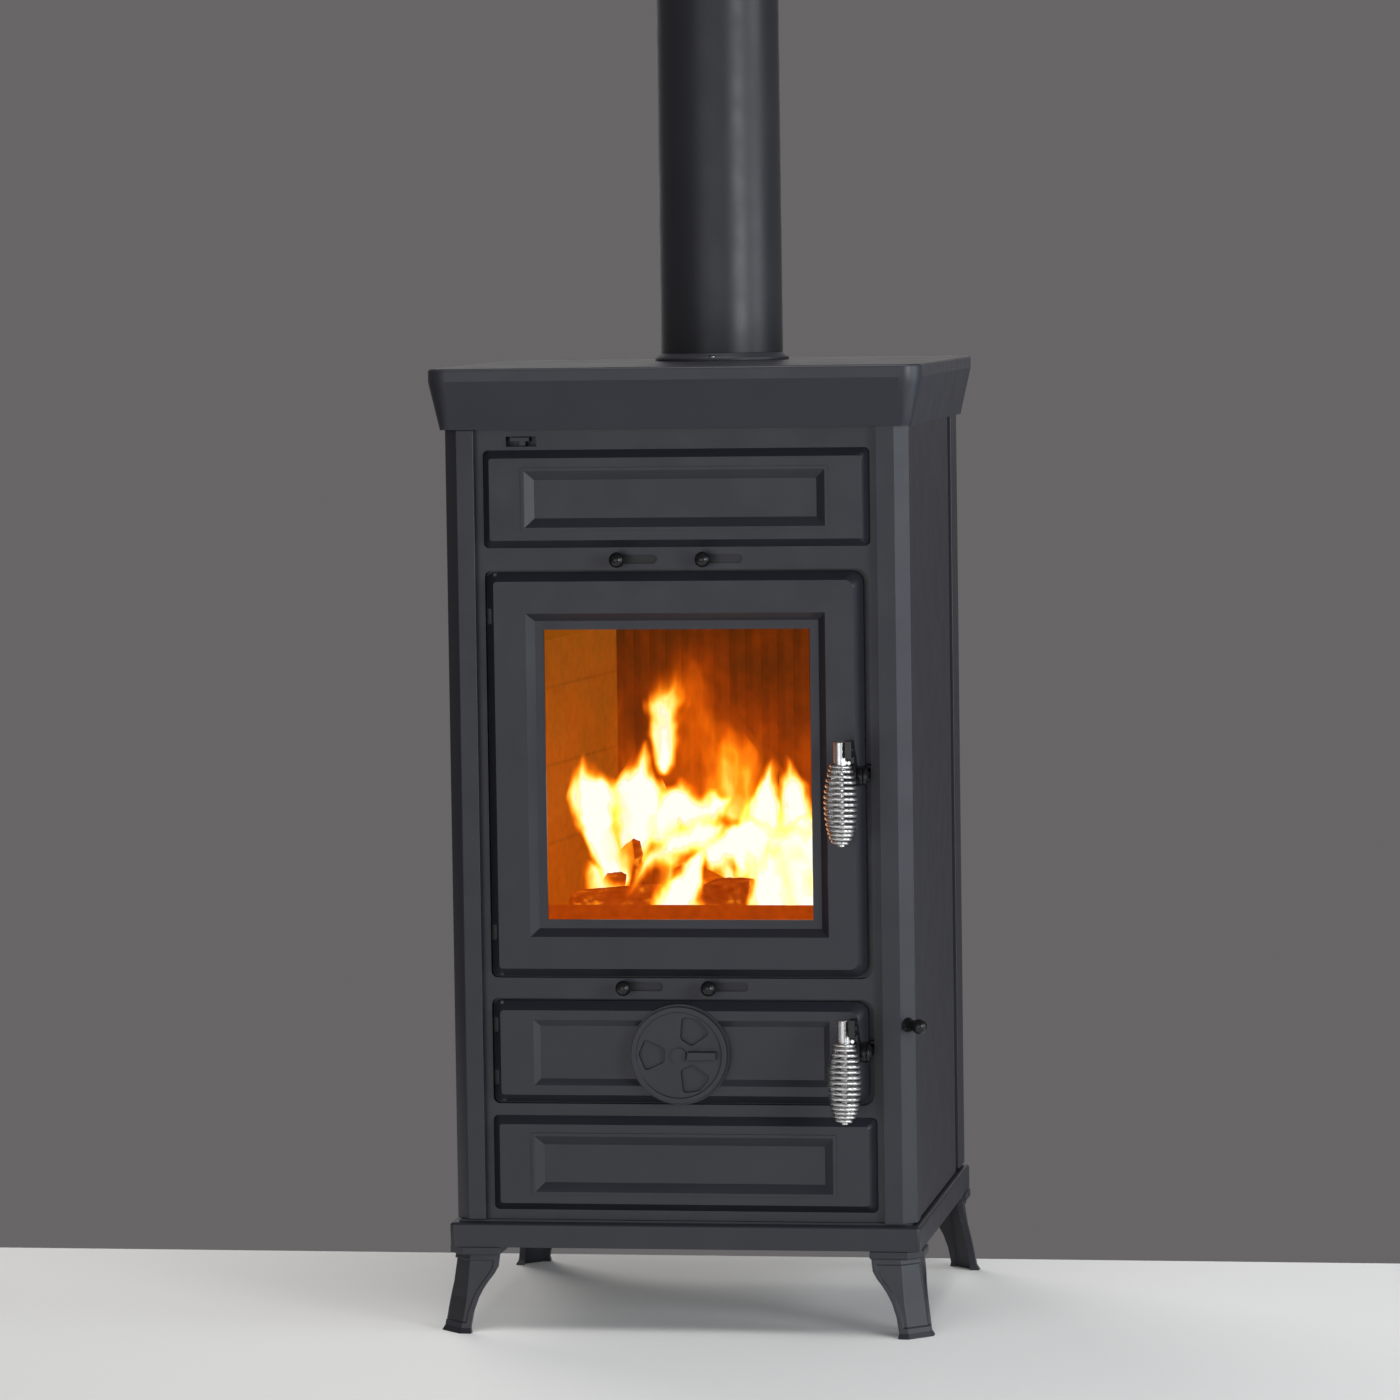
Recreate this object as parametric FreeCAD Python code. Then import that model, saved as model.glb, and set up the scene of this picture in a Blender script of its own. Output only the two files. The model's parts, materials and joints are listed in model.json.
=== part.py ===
import FreeCAD, Part
import math
import os

# A free-standing cast iron wood stove with a flue pipe. Millimetres, +Z up, +X to the viewer's right.
# Depth is measured backwards from the front plate's outer face, so what stands proud has a negative depth.
V = FreeCAD.Vector

# Clearances
RUN_FIT = 0.05
SEAT_GAP = 0.3

# Body
BODY_W = 439.0
BODY_D = 395.0
BODY_H = 746.5
FOOT_H = 81.0
PLINTH_H = 25.0
PLINTH_SIDE = 4.5
PLINTH_FRONT = 7.0
PLINTH_BACK = 4.0
PLINTH_WALL = 7.0
PLINTH_EDGE = 4.0
PLINTH_SEAT_H = 2.0
PLINTH_SEAT_IN = 4.5
CORNICE_H = 57.5
CORNICE_BAND = 12.0
CORNICE_SIDE = 14.0
CORNICE_FRONT = 12.0
CORNICE_BACK = 27.0
CORNICE_TAPER = 10.5
CORNICE_CORNER = 20.0
CORNICE_EDGE = 2.5
CORNICE_WALL = 8.0

# Posts and panels
POST_FACE = 17.0
POST_CHAMFER = 12.5
POST_PROUD = 9.0
POST_WALL = 6.0
POST_CHAMFER_WALL = 8.0
POST_LEG = 35.0
REAR_LEG = 45.0
REAR_RETURN = 40.0
GROOVE_W = 22.0
LIP_T = 5.0
LIP_LAP = 13.0
SIDE_PANEL_T = 5.0
BACK_PANEL_T = 6.0

# Front plate
PLATE_T = 8.0
PLATE_LAP = 4.0
BACKING_T = 6.0
OPEN_X0 = -182.6
OPEN_W = 363.6
LOWER_PANEL_GAP = 9.0
LOWER_PANEL_H = 90.0
ASH_OPEN_GAP = 11.0
ASH_OPEN_H = 100.0
STRIP_H = 19.5
LOWER_SLOT_DROP = 8.0
FIRE_OPEN_H = 384.5
UPPER_SLOT_RISE = 10.0
UPPER_PANEL_GAP = 21.0
UPPER_PANEL_H = 92.0
PANEL_W = 366.0
PANEL_PROUD = 10.0
PANEL_BEVEL = 7.5
PANEL_CORNER = 5.0
PANEL_FACE_CORNER = 3.0
PANEL_RECESS_W = 284.0
PANEL_RECESS_H = 53.0
PANEL_RECESS_BEVEL = 8.5
PANEL_RECESS_DEPTH = 5.0
BEAD_W = 3.0
BEAD_PROUD = 1.2

# Doors
LATCH_GAP = 5.5
DOOR_GAP = 2.0
DOOR_PROUD = 12.0
DOOR_BACK = 6.0
DOOR_BEVEL = 8.0
DOOR_CORNER = 12.0
DOOR_FACE_CORNER = 8.0
DOOR_HINGE_CORNER = 6.0
DOOR_HINGE_FACE_CORNER = 3.5
REBATE = 15.0
HINGE_REBATE = 25.5
SEAL_INSET = 7.5
SEAL_HINGE_EXTRA = 12.0
SEAL_R = 3.3
SEAL_CORNER = 9.0
GROOVE_GAP = 0.3
GROOVE_DEPTH = 5.0
WINDOW_MARGIN_X0 = 38.2
WINDOW_MARGIN_X1 = 34.6
WINDOW_MARGIN_Z = 38.0
WINDOW_BEVEL = 7.4
WINDOW_DEPTH = 8.4
WINDOW_LIP = 8.2
GLASS_T = 4.0
GLASS_LAP = 9.0
GLASS_SEAT = 3.5
GASKET_T = 1.6
GASKET_W = 8.0
CLIP_W = 24.0
CLIP_T = 1.6
CLIP_REACH = 12.0
CLIP_FOOT = 6.0
CLIP_SCREW_R = 2.5
CLIP_SCREW_L = 9.0
ASH_RECESS_X0 = 39.5
ASH_RECESS_X1 = 35.0
ASH_RECESS_Z = 17.0
ASH_RECESS_BEVEL = 6.0
ASH_RECESS_DEPTH = 4.0

# Hinges
PIN_R = 2.5
PIN_OVER = 12.0
HINGE_IN = 9.0
HINGE_PROUD = 3.0
HINGE_LUG_R = 4.2
HINGE_LUG_H = 14.0
HINGE_WEB = 5.0
HINGE_POCKET_GAP = 0.5
HINGE_SWING = 110.0
HINGE_RELIEF = 5.0
HINGE_END = 34.0
ASH_HINGE_END = 16.0

# Latches
LATCH_OUT = 22.0
LATCH_IN = 2.0
SPINDLE_R = 4.5
LUG_R = 8.5
LUG_W = 4.9
LEVER_T = 6.0
HOOK_T = 3.0
HOOK_H = 8.0
HOOK_END_GAP = 1.0
KEEPER_R = 2.5
KEEPER_DEEP = 7.0
FIRE_LATCH_RISE = 190.0
ASH_LATCH_RISE = 50.5
LEVER_TOP = 36.0
LEVER_FORE_H = 16.0
LEVER_FORE_REACH = 43.0
LEVER_NECK = 24.0
GRIP_OUT = 34.0
GRIP_SIDE = 5.5
ROD_R = 6.0
ROD_CORE_R = 3.3
ROD_SHOULDER = 8.0
ROD_DROP = 62.0
ROD_FLAT_FROM = 18.0
ROD_PIN_R = 2.5
ROD_PIN_Z = 28.0
ROD_END_ROUND = 2.0

# Coil grips
WIRE_R = 1.7
COIL_TOP = 15.3
COIL_TOP_R = 8.0
COIL_MAX_R = 14.4
COIL_END_R = 5.3
COIL_PEAK = 0.48
COIL_TIGHT_PITCH = 3.9
COIL_OPEN_PITCH = 5.1
COIL_FIRST_TURNS = 2
COIL_OPEN_TURNS = 10
COIL_LAST_TURNS = 4
COIL_MIN_GAP = 0.4
SEGMENTS_PER_TURN = 4

# Air spinner on the ash door
SPINNER_X = -1.5
SPINNER_R = 45.5
SPINNER_T = 4.5
SPINNER_RIM = 5.0
SPINNER_RIM_PROUD = 2.0
SPINNER_SEAT = 2.0
SPINNER_SEAT_PROUD = 2.0
SPINNER_PORTS = 3
PORT_R0 = 15.0
PORT_R1 = 36.0
PORT_ANGLE = 50.0
PORT_CORNER = 4.0
TAB_R0 = 9.0
TAB_L = 27.0
TAB_W = 7.5
TAB_PROUD = 9.0
SPINNER_BOLT_R = 4.0
SPINNER_HEAD_R = 7.0
SPINNER_HEAD_H = 3.0
SPINNER_NUT_R = 6.5
SPINNER_NUT_H = 5.0

# Air slides
SLOT_L = 40.0
SLOT_H = 8.4
SLOT_SKIN = 2.5
SLOT_PITCH = 81.0
SLOT_PAIR_X = 2.0
KNOB_R = 7.25
KNOB_OUT = 15.0
NECK_R = 3.6
NECK_GAP = 0.6
STUD_R = 2.0
STUD_IN = 10.0
SHUTTER_T = 2.0
SHUTTER_H = 11.0
SHUTTER_LAP = 1.5
GUIDE_T = 5.0
GUIDE_BACK = 2.0
GUIDE_RAIL = 2.7
GUIDE_RIB = 2.0
GUIDE_END = 10.0
GUIDE_PORT = 30.0
SLIDE_TRAVEL = 31.0

# Top air slide
TAB_SLOT_X0 = -160.7
TAB_SLOT_W = 29.2
TAB_SLOT_H = 9.4
TAB_SLOT_RISE = 8.0
TEE_W = 18.0
TEE_H = 4.0
TEE_STEM = 5.7
TEE_LEFT = 3.7
TEE_SET_BACK = 1.0
TEE_TRAVEL = 7.0

# Firebox
WALL_X = 178.0
WALL_T = 4.0
LEDGE_W = 10.0
LEDGE_T = 6.0
FLOOR_T = 12.0
FLOOR_RISE = 2.0
LINER_T = 25.0
LINER_BACK_T = 60.0
LINER_H = 298.0
LINER_FRONT = 40.0
REAR_LINER_GAP = 19.0
REAR_LINER_T = 12.0
RIB_W = 8.0
RIB_PITCH = 16.0
RIB_DEEP = 6.0
RIB_COUNT = 14
BAFFLE_T = 15.0
BAFFLE_FRONT = 110.0
BAFFLE_RISE = 338.0
GUARD_W = 300.0
GUARD_T = 6.0
GUARD_H = 50.0
GUARD_DEPTH = 44.0
GRATE_DEPTH = 155.0
GRATE_R = 95.0
GRATE_GAP = 0.5
GRATE_LEDGE = 7.0
GRATE_LEDGE_T = 3.0
GRATE_SLOT = 10.0
GRATE_SLOT_PITCH = 20.0
GRATE_SLOTS = 7
GRATE_MARGIN = 12.0
CRANK_PIN_R = 3.0
CRANK_BOSS_R = 9.0

# Riddling rod
RIDDLE_R = 4.5
RIDDLE_DROP = 23.0
RIDDLE_TRAVEL = 20.0
RIDDLE_STEM = 11.0
RIDDLE_KNOB_R = 7.2
RIDDLE_NECK_R = 5.4
RIDDLE_FLANGE_R = 7.0
RIDDLE_FLANGE_L = 3.5
RIDDLE_FORK = 22.0
RIDDLE_FORK_T = 7.0
RIDDLE_SLOT_GAP = 0.4
RIDDLE_SLOT_PLAY = 4.0
RIDDLE_WALL_GAP = 1.0

# Ash pan
ASH_FLOOR_T = 6.0
PAN_H = 52.0
PAN_T = 1.6
PAN_FRONT = 40.0
PAN_BACK = 336.0
PAN_SIDE = 10.0
PAN_GRIP_W = 70.0
PAN_GRIP_OUT = 14.0
PAN_GRIP_DROP = 16.0

# Flue
FLUE_DEPTH = 296.0
FLUE_R = 52.0
PIPE_R = 60.0
PIPE_T = 2.0
PIPE_L = 500.0
SPIGOT_GAP = 0.2
SPIGOT_H = 45.0
COLLAR_R = 65.5
COLLAR_H = 8.0
COLLAR_LIP = 3.0
COLLAR_SCREWS = 3
COLLAR_SCREW_R = 62.0

# Fasteners
M6_R = 3.0
M6_HEAD_R = 5.5
M6_HEAD_H = 4.0
M6_L = 16.0
M8_R = 4.0
M8_HEAD_R = 7.0
M8_HEAD_H = 5.5
FOOT_BOLT_L = 22.0
TIE_IN = 21.5
TIE_INSET = 55.0
TIE_BOSS_R = 10.0
TIE_BOSS_H = 26.0
TIE_THREAD = 20.0

# Feet
PAD_W = 50.0
PAD_T = 7.0
PAD_OVER = 2.0
PAD_CHAMFER = 14.0
PANEL_SINK = 2.0
FOOT_RIM = 5.0
# Height on the foot, outward offset from the plinth's edge, arm length, corner chamfer, wall
FOOT_SECTIONS = [
    (74.0, -2.0, 45.0, 17.0, 6.0),
    (62.0, -0.5, 45.0, 17.0, 6.0),
    (55.0, 0.5, 42.0, 17.5, 6.0),
    (48.0, 1.5, 37.5, 18.0, 6.0),
    (41.0, 2.6, 34.0, 18.5, 6.0),
    (33.0, 3.8, 31.0, 19.0, 6.0),
    (20.0, 5.8, 28.5, 19.0, 6.5),
    (5.0, 8.0, 28.0, 19.0, 7.0),
    (0.0, 11.0, 32.0, 21.0, 9.0),
]
SUNK_LOW = 10.0
SUNK_TOP = 68.0

# Levels and places worked out from the sizes above
BODY_Z = FOOT_H + PLINTH_H
CORNICE_Z = BODY_Z + BODY_H
TOP_Z = CORNICE_Z + CORNICE_H
TOP_UNDER = TOP_Z - CORNICE_WALL
BODY_X = BODY_W / 2
TIE_X = BODY_X - TIE_IN
POST_IN = BODY_X - POST_CHAMFER - POST_FACE
BODY_BACK = BODY_D - POST_PROUD
PLATE_X = POST_IN + PLATE_LAP
PLATE_BACK = PLATE_T + BACKING_T
SHUTTER_FRONT = SLOT_SKIN + SEAT_GAP
SHUTTER_BACK = SHUTTER_FRONT + SHUTTER_T
OPEN_X1 = OPEN_X0 + OPEN_W
LOWER_PANEL_Z = BODY_Z + LOWER_PANEL_GAP
ASH_OPEN_Z = LOWER_PANEL_Z + LOWER_PANEL_H + ASH_OPEN_GAP
FIRE_OPEN_Z = ASH_OPEN_Z + ASH_OPEN_H + STRIP_H
LOWER_SLOT_Z = FIRE_OPEN_Z - LOWER_SLOT_DROP
UPPER_SLOT_Z = FIRE_OPEN_Z + FIRE_OPEN_H + UPPER_SLOT_RISE
UPPER_PANEL_Z = FIRE_OPEN_Z + FIRE_OPEN_H + UPPER_PANEL_GAP
TAB_SLOT_Z = UPPER_PANEL_Z + UPPER_PANEL_H + TAB_SLOT_RISE
DOOR_X0 = OPEN_X0 + DOOR_GAP
DOOR_X1 = OPEN_X1 - LATCH_GAP
HINGE_X = DOOR_X0 + HINGE_IN
HINGE_DEPTH = -HINGE_PROUD
LATCH_X = DOOR_X1 - LATCH_IN
FIRE_LATCH_Z = FIRE_OPEN_Z + DOOR_GAP + FIRE_LATCH_RISE
ASH_LATCH_Z = ASH_OPEN_Z + DOOR_GAP + ASH_LATCH_RISE
LUG_X1 = DOOR_X1 + 0.9
LUG_X0 = LUG_X1 - LUG_W
LEVER_X1 = LUG_X0 - SEAT_GAP
LEVER_X0 = LEVER_X1 - LEVER_T
HOOK_X0 = LUG_X1 + SEAT_GAP
GRIP_X = LEVER_X0 - GRIP_SIDE
GRIP_DEPTH = -LATCH_OUT - GRIP_OUT
FLOOR_Z = FIRE_OPEN_Z + FLOOR_RISE
FLOOR_TOP = FLOOR_Z + FLOOR_T
ASH_FLOOR_Z = ASH_OPEN_Z + DOOR_GAP + REBATE - ASH_FLOOR_T - 1.0
ASH_FLOOR_TOP = ASH_FLOOR_Z + ASH_FLOOR_T
BACK_PANEL_FRONT = BODY_BACK - POST_WALL - BACK_PANEL_T
BAFFLE_Z = FLOOR_TOP + BAFFLE_RISE
SPINNER_Z = ASH_OPEN_Z + ASH_OPEN_H / 2 - 0.8
SPINNER_FACE = -DOOR_PROUD - SPINNER_SEAT_PROUD
RIDDLE_Z = ASH_OPEN_Z + ASH_OPEN_H - RIDDLE_DROP
CHAMFER_MID_X = BODY_X - POST_CHAMFER / 2
CHAMFER_MID_DEPTH = -POST_PROUD + POST_CHAMFER / 2
CRANK_R = (CHAMFER_MID_X + CHAMFER_MID_DEPTH - GRATE_DEPTH) / math.sqrt(2)
CRANK_SWING = math.asin(RIDDLE_TRAVEL / 2 / CRANK_R)
CRANK_ANGLE = math.radians(45) + CRANK_SWING
SLOT_X = [SLOT_PAIR_X - SLOT_PITCH / 2, SLOT_PAIR_X + SLOT_PITCH / 2]
COIL_REACH = COIL_MAX_R + WIRE_R
PLINTH_X = BODY_X + PLINTH_SIDE
PLINTH_E0 = -POST_PROUD - PLINTH_FRONT
PLINTH_E1 = BODY_BACK + PLINTH_BACK
CORNICE_X = BODY_X + CORNICE_SIDE
CORNICE_E0 = -POST_PROUD - CORNICE_FRONT
CORNICE_E1 = BODY_BACK + CORNICE_BACK

# The origin lies on the floor under the middle of the bounding box, from the coil grips to the cornice's back
PLATE_Y = (COIL_REACH - GRIP_DEPTH - CORNICE_E1) / 2


def at(x, depth, z):
    return V(x, PLATE_Y + depth, z)


def box(x0, x1, e0, e1, z0, z1):
    return Part.makeBox(x1 - x0, e1 - e0, z1 - z0, at(x0, e0, z0))


def bar_x(x0, x1, depth, z, r):
    return Part.makeCylinder(r, x1 - x0, at(x0, depth, z), V(1, 0, 0))


def bar_y(e0, e1, x, z, r):
    return Part.makeCylinder(r, e1 - e0, at(x, e0, z), V(0, 1, 0))


def bar_z(z0, z1, x, depth, r):
    return Part.makeCylinder(r, z1 - z0, at(x, depth, z0), V(0, 0, 1))


def hex_bar(r, length, base, axis):
    """A hexagonal head or nut, r to its flats, from base along axis."""
    corner = r / math.cos(math.pi / 6)
    points = [V(corner * math.cos(k * math.pi / 3), corner * math.sin(k * math.pi / 3), 0) for k in range(7)]
    prism = Part.Face(Part.makePolygon(points)).extrude(V(0, 0, length))
    prism.Placement = FreeCAD.Placement(base, FreeCAD.Rotation(V(0, 0, 1), axis))
    return prism


def outline(corners, place):
    """A closed wire round (a, b, radius) corners, with an arc where the radius is over zero."""
    count = len(corners)
    edges = []
    ends = []
    for k in range(count):
        a, b, r = corners[k]
        here = V(a, b, 0)
        before = V(corners[k - 1][0], corners[k - 1][1], 0)
        after = V(corners[(k + 1) % count][0], corners[(k + 1) % count][1], 0)
        back = (before - here).normalize()
        ahead = (after - here).normalize()
        if r <= 0:
            ends.append((here, None, here))
            continue
        half = back.getAngle(ahead) / 2
        reach = r / math.tan(half)
        inward = (back + ahead).normalize()
        middle = here + inward * (r / math.sin(half) - r)
        ends.append((here + back * reach, middle, here + ahead * reach))
    for k in range(count):
        start, middle, end = ends[k]
        if middle is not None:
            edges.append(Part.Arc(place(start), place(middle), place(end)).toShape())
        following = ends[(k + 1) % count][0]
        edges.append(Part.makeLine(place(end), place(following)))
    return Part.Wire(edges)


def front_wire(x0, x1, z0, z1, depth, left=0.0, right=0.0):
    """A rectangle facing the viewer at one depth, with rounded left and right corners."""
    corners = [(x0, z0, left), (x1, z0, right), (x1, z1, right), (x0, z1, left)]
    return outline(corners, lambda p: at(p.x, depth, p.y))


def plan_wire(x0, x1, e0, e1, z, r):
    corners = [(x0, e0, r), (x1, e0, r), (x1, e1, r), (x0, e1, r)]
    return outline(corners, lambda p: at(p.x, p.y, z))


def slab(wire, depth):
    return Part.Face(wire).extrude(V(0, depth, 0))


def loft(wires):
    return Part.makeLoft(wires, True, True)


def fuse(first, *others):
    return first.fuse(list(others)).removeSplitter()


def mirrored(shape):
    return shape.mirror(V(0, 0, 0), V(1, 0, 0))


def m6_screw(base, axis):
    """A screw whose head stands on base and whose shank runs along axis."""
    head = hex_bar(M6_HEAD_R, M6_HEAD_H, base - axis * M6_HEAD_H, axis)
    return fuse(head, Part.makeCylinder(M6_R, M6_L, base, axis))


def m6_hole(base, axis):
    return Part.makeCylinder(M6_R + RUN_FIT, M6_L + 1, base, axis)


# Places of the M6 screws: the seat of the head and the way that the shank points
def panel_screw_seats():
    x = (PANEL_W + PANEL_RECESS_W) / 4
    heights = [LOWER_PANEL_Z + LOWER_PANEL_H / 2, UPPER_PANEL_Z + UPPER_PANEL_H / 2]
    return [(at(sx * x, PLATE_T, z), V(0, -1, 0)) for z in heights for sx in (-1, 1)]


def shutter_ends(slot_x):
    """X ends of an air slide's shutter, which covers its slot when the knob is at the left end."""
    half = SLOT_L / 2 + SHUTTER_LAP
    return slot_x - half, slot_x + half


def pair_guide_ends():
    return shutter_ends(SLOT_X[0])[0] - SEAT_GAP, shutter_ends(SLOT_X[1])[1] + SLIDE_TRAVEL + SEAT_GAP


def guide_screw_seats():
    rows = [(pair_guide_ends(), LOWER_SLOT_Z), (pair_guide_ends(), UPPER_SLOT_Z), (tee_guide_ends(), TAB_SLOT_Z)]
    seats = []
    for ends, z in rows:
        for x in (ends[0] - GUIDE_END / 2, ends[1] + GUIDE_END / 2):
            seats.append((at(x, PLATE_BACK + GUIDE_T, z), V(0, -1, 0)))
    return seats


def collar_screw_seats():
    seats = []
    for k in range(COLLAR_SCREWS):
        angle = -math.pi / 2 + 2 * math.pi * k / COLLAR_SCREWS
        x = COLLAR_SCREW_R * math.cos(angle)
        depth = FLUE_DEPTH + COLLAR_SCREW_R * math.sin(angle)
        seats.append((at(x, depth, TOP_UNDER - COLLAR_LIP), V(0, 0, 1)))
    return seats


def tie_places():
    return [(sx * TIE_X, e) for sx in (-1, 1) for e in (TIE_INSET, BODY_BACK - TIE_INSET)]


def foot_corners():
    """Outward signs of the four corners in X and in depth."""
    return {"front_left": (-1, -1), "front_right": (1, -1), "rear_left": (-1, 1), "rear_right": (1, 1)}


def corner_point(signs, u, v, z):
    """A point u and v outside the plinth's side and end at one of its corners."""
    middle = (PLINTH_E0 + PLINTH_E1) / 2
    half = (PLINTH_E1 - PLINTH_E0) / 2
    return at(signs[0] * (PLINTH_X + u), middle + signs[1] * (half + v), z)


# Base

def angle_wire(signs, z, out, arm, chamfer, wall):
    """An L section with a chamfered outer corner."""
    inner = chamfer + wall * math.tan(math.pi / 8)
    points = [
        (out - arm, out), (out - chamfer, out), (out, out - chamfer), (out, out - arm),
        (out - wall, out - arm), (out - wall, out - inner), (out - inner, out - wall), (out - arm, out - wall),
    ]
    corners = [corner_point(signs, u, v, z) for u, v in points]
    return Part.makePolygon(corners + corners[:1])


def foot(signs):
    leg = loft([angle_wire(signs, *section) for section in FOOT_SECTIONS])
    sunk = []
    for z, out, arm, chamfer, wall in FOOT_SECTIONS[:-1]:
        sunk.append(angle_wire(signs, z, out + 1, arm - FOOT_RIM + 1, chamfer, 1 + PANEL_SINK))
    reach = PLINTH_X + PLINTH_E1
    band = box(-reach, reach, -reach, reach, SUNK_LOW, SUNK_TOP)
    leg = leg.cut(loft(sunk).common(band))
    inner = PAD_OVER - PAD_W
    pad_points = [(PAD_OVER - PAD_CHAMFER, PAD_OVER), (PAD_OVER, PAD_OVER - PAD_CHAMFER),
                  (PAD_OVER, inner), (inner, inner), (inner, PAD_OVER)]
    pad_corners = [corner_point(signs, u, v, FOOT_H - PAD_T) for u, v in pad_points]
    pad = Part.Face(Part.makePolygon(pad_corners + pad_corners[:1])).extrude(V(0, 0, PAD_T))
    hole = Part.makeCylinder(M8_R + RUN_FIT, PAD_T, foot_bolt_seat(signs), V(0, 0, 1))
    return fuse(leg, pad).cut(hole)


def foot_bolt_seat(signs):
    middle = PAD_OVER - PAD_W / 2
    return corner_point(signs, middle, middle, FOOT_H - PAD_T)


def foot_bolts():
    bolts = []
    for signs in foot_corners().values():
        seat = foot_bolt_seat(signs)
        head = hex_bar(M8_HEAD_R, M8_HEAD_H, seat - V(0, 0, M8_HEAD_H), V(0, 0, 1))
        bolts.append(fuse(head, Part.makeCylinder(M8_R, FOOT_BOLT_L, seat, V(0, 0, 1))))
    return Part.makeCompound(bolts)


def plinth():
    """A cast tray whose raised seat leaves a shadow gap under the body."""
    rim_z = BODY_Z - PLINTH_SEAT_H
    tray = Part.Face(plan_wire(-PLINTH_X, PLINTH_X, PLINTH_E0, PLINTH_E1, FOOT_H, PLINTH_EDGE))
    tray = tray.extrude(V(0, 0, rim_z - FOOT_H))
    top_edges = [e for e in tray.Edges if min(v.Z for v in e.Vertexes) > rim_z - 0.01]
    tray = tray.makeFillet(PLINTH_EDGE * 0.75, top_edges)
    seat_x = BODY_X - PLINTH_SEAT_IN
    tray = fuse(tray, box(-seat_x, seat_x, -POST_PROUD + PLINTH_SEAT_IN, BODY_BACK - PLINTH_SEAT_IN, rim_z, BODY_Z))
    hollow = box(-PLINTH_X + PLINTH_WALL, PLINTH_X - PLINTH_WALL, PLINTH_E0 + PLINTH_WALL, PLINTH_E1 - PLINTH_WALL,
                 FOOT_H, BODY_Z - PLINTH_WALL)
    holes = []
    for signs in foot_corners().values():
        near = corner_point(signs, 0, 0, FOOT_H)
        far = corner_point(signs, PAD_OVER - PAD_W, PAD_OVER - PAD_W, FOOT_H)
        low = V(min(near.x, far.x), min(near.y, far.y), FOOT_H)
        hollow = hollow.cut(Part.makeBox(abs(near.x - far.x), abs(near.y - far.y), PLINTH_H, low))
        holes.append(Part.makeCylinder(M8_R + RUN_FIT, FOOT_BOLT_L + 1, foot_bolt_seat(signs), V(0, 0, 1)))
    for x, depth in tie_places():
        holes.append(bar_z(FOOT_H, BODY_Z, x, depth, M8_R + RUN_FIT))
    return tray.cut([hollow] + holes)


# Frame

def front_post():
    """The right-hand post, with a lip inside that carries the side panel."""
    inner = POST_CHAMFER_WALL * math.sqrt(2)
    offset = BODY_X - (POST_CHAMFER - POST_PROUD) - inner
    end = POST_LEG - POST_PROUD
    side = BODY_X - POST_WALL
    points = [(POST_IN, -POST_PROUD), (BODY_X - POST_CHAMFER, -POST_PROUD), (BODY_X, POST_CHAMFER - POST_PROUD),
              (BODY_X, end), (side, end), (side, side - offset), (offset, 0), (POST_IN, 0)]
    corners = [at(x, e, BODY_Z) for x, e in points]
    post = Part.Face(Part.makePolygon(corners + corners[:1])).extrude(V(0, 0, BODY_H))
    return fuse(post, box(side - LIP_T, side, end - LIP_LAP, end + LIP_LAP, BODY_Z, CORNICE_Z))


def riddle_bar(start, end, r):
    """A round bar along the riddling rod's line, from start to end outside the right post's chamfer."""
    out = V(1, -1, 0).normalize()
    base = at(CHAMFER_MID_X, CHAMFER_MID_DEPTH, RIDDLE_Z) + out * start
    return Part.makeCylinder(r, end - start, base, out)


def front_post_right():
    return front_post().cut(riddle_bar(-POST_LEG, RIDDLE_STEM, RIDDLE_R + RUN_FIT))


def front_post_left():
    return mirrored(front_post())


def rear_post():
    side = BODY_X - POST_WALL
    leg = box(side, BODY_X, BODY_BACK - REAR_LEG, BODY_BACK, BODY_Z, CORNICE_Z)
    lip = box(side - LIP_T, side, BODY_BACK - REAR_LEG - GROOVE_W - LIP_LAP, BODY_BACK, BODY_Z, CORNICE_Z)
    returned = box(side - REAR_RETURN, side, BODY_BACK - POST_WALL, BODY_BACK, BODY_Z, CORNICE_Z)
    return fuse(leg, lip, returned)


def side_panel():
    inner = BODY_X - POST_WALL
    return box(inner, inner + SIDE_PANEL_T, POST_LEG - POST_PROUD + SEAT_GAP,
               BODY_BACK - REAR_LEG - GROOVE_W, BODY_Z, CORNICE_Z)


def back_panel():
    half = BODY_X - POST_WALL - LIP_T
    return box(-half, half, BACK_PANEL_FRONT, BACK_PANEL_FRONT + BACK_PANEL_T, BODY_Z, TOP_UNDER)


def rounded_slot(x0, x1, z, height, e0, e1):
    return slab(front_wire(x0, x1, z - height / 2, z + height / 2, e0, height / 2.01, height / 2.01), e1 - e0)


def hinge_levels():
    """Height of the two fixed lugs behind each door's hinge side."""
    fire0 = FIRE_OPEN_Z + DOOR_GAP + HINGE_END
    fire1 = FIRE_OPEN_Z + FIRE_OPEN_H - DOOR_GAP - HINGE_END - HINGE_LUG_H
    ash0 = ASH_OPEN_Z + DOOR_GAP + ASH_HINGE_END
    ash1 = ASH_OPEN_Z + ASH_OPEN_H - DOOR_GAP - ASH_HINGE_END - HINGE_LUG_H
    return {"fire": [fire0, fire1], "ash": [ash0, ash1]}


def hinge_lug(z):
    """A round lug on a web that stands out of the frame into a pocket in the door's back."""
    barrel = bar_z(z, z + HINGE_LUG_H, HINGE_X, HINGE_DEPTH, HINGE_LUG_R)
    web = box(HINGE_X - HINGE_WEB / 2, HINGE_X + HINGE_WEB / 2, HINGE_DEPTH, PLATE_T, z, z + HINGE_LUG_H)
    return fuse(barrel, web)


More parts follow.
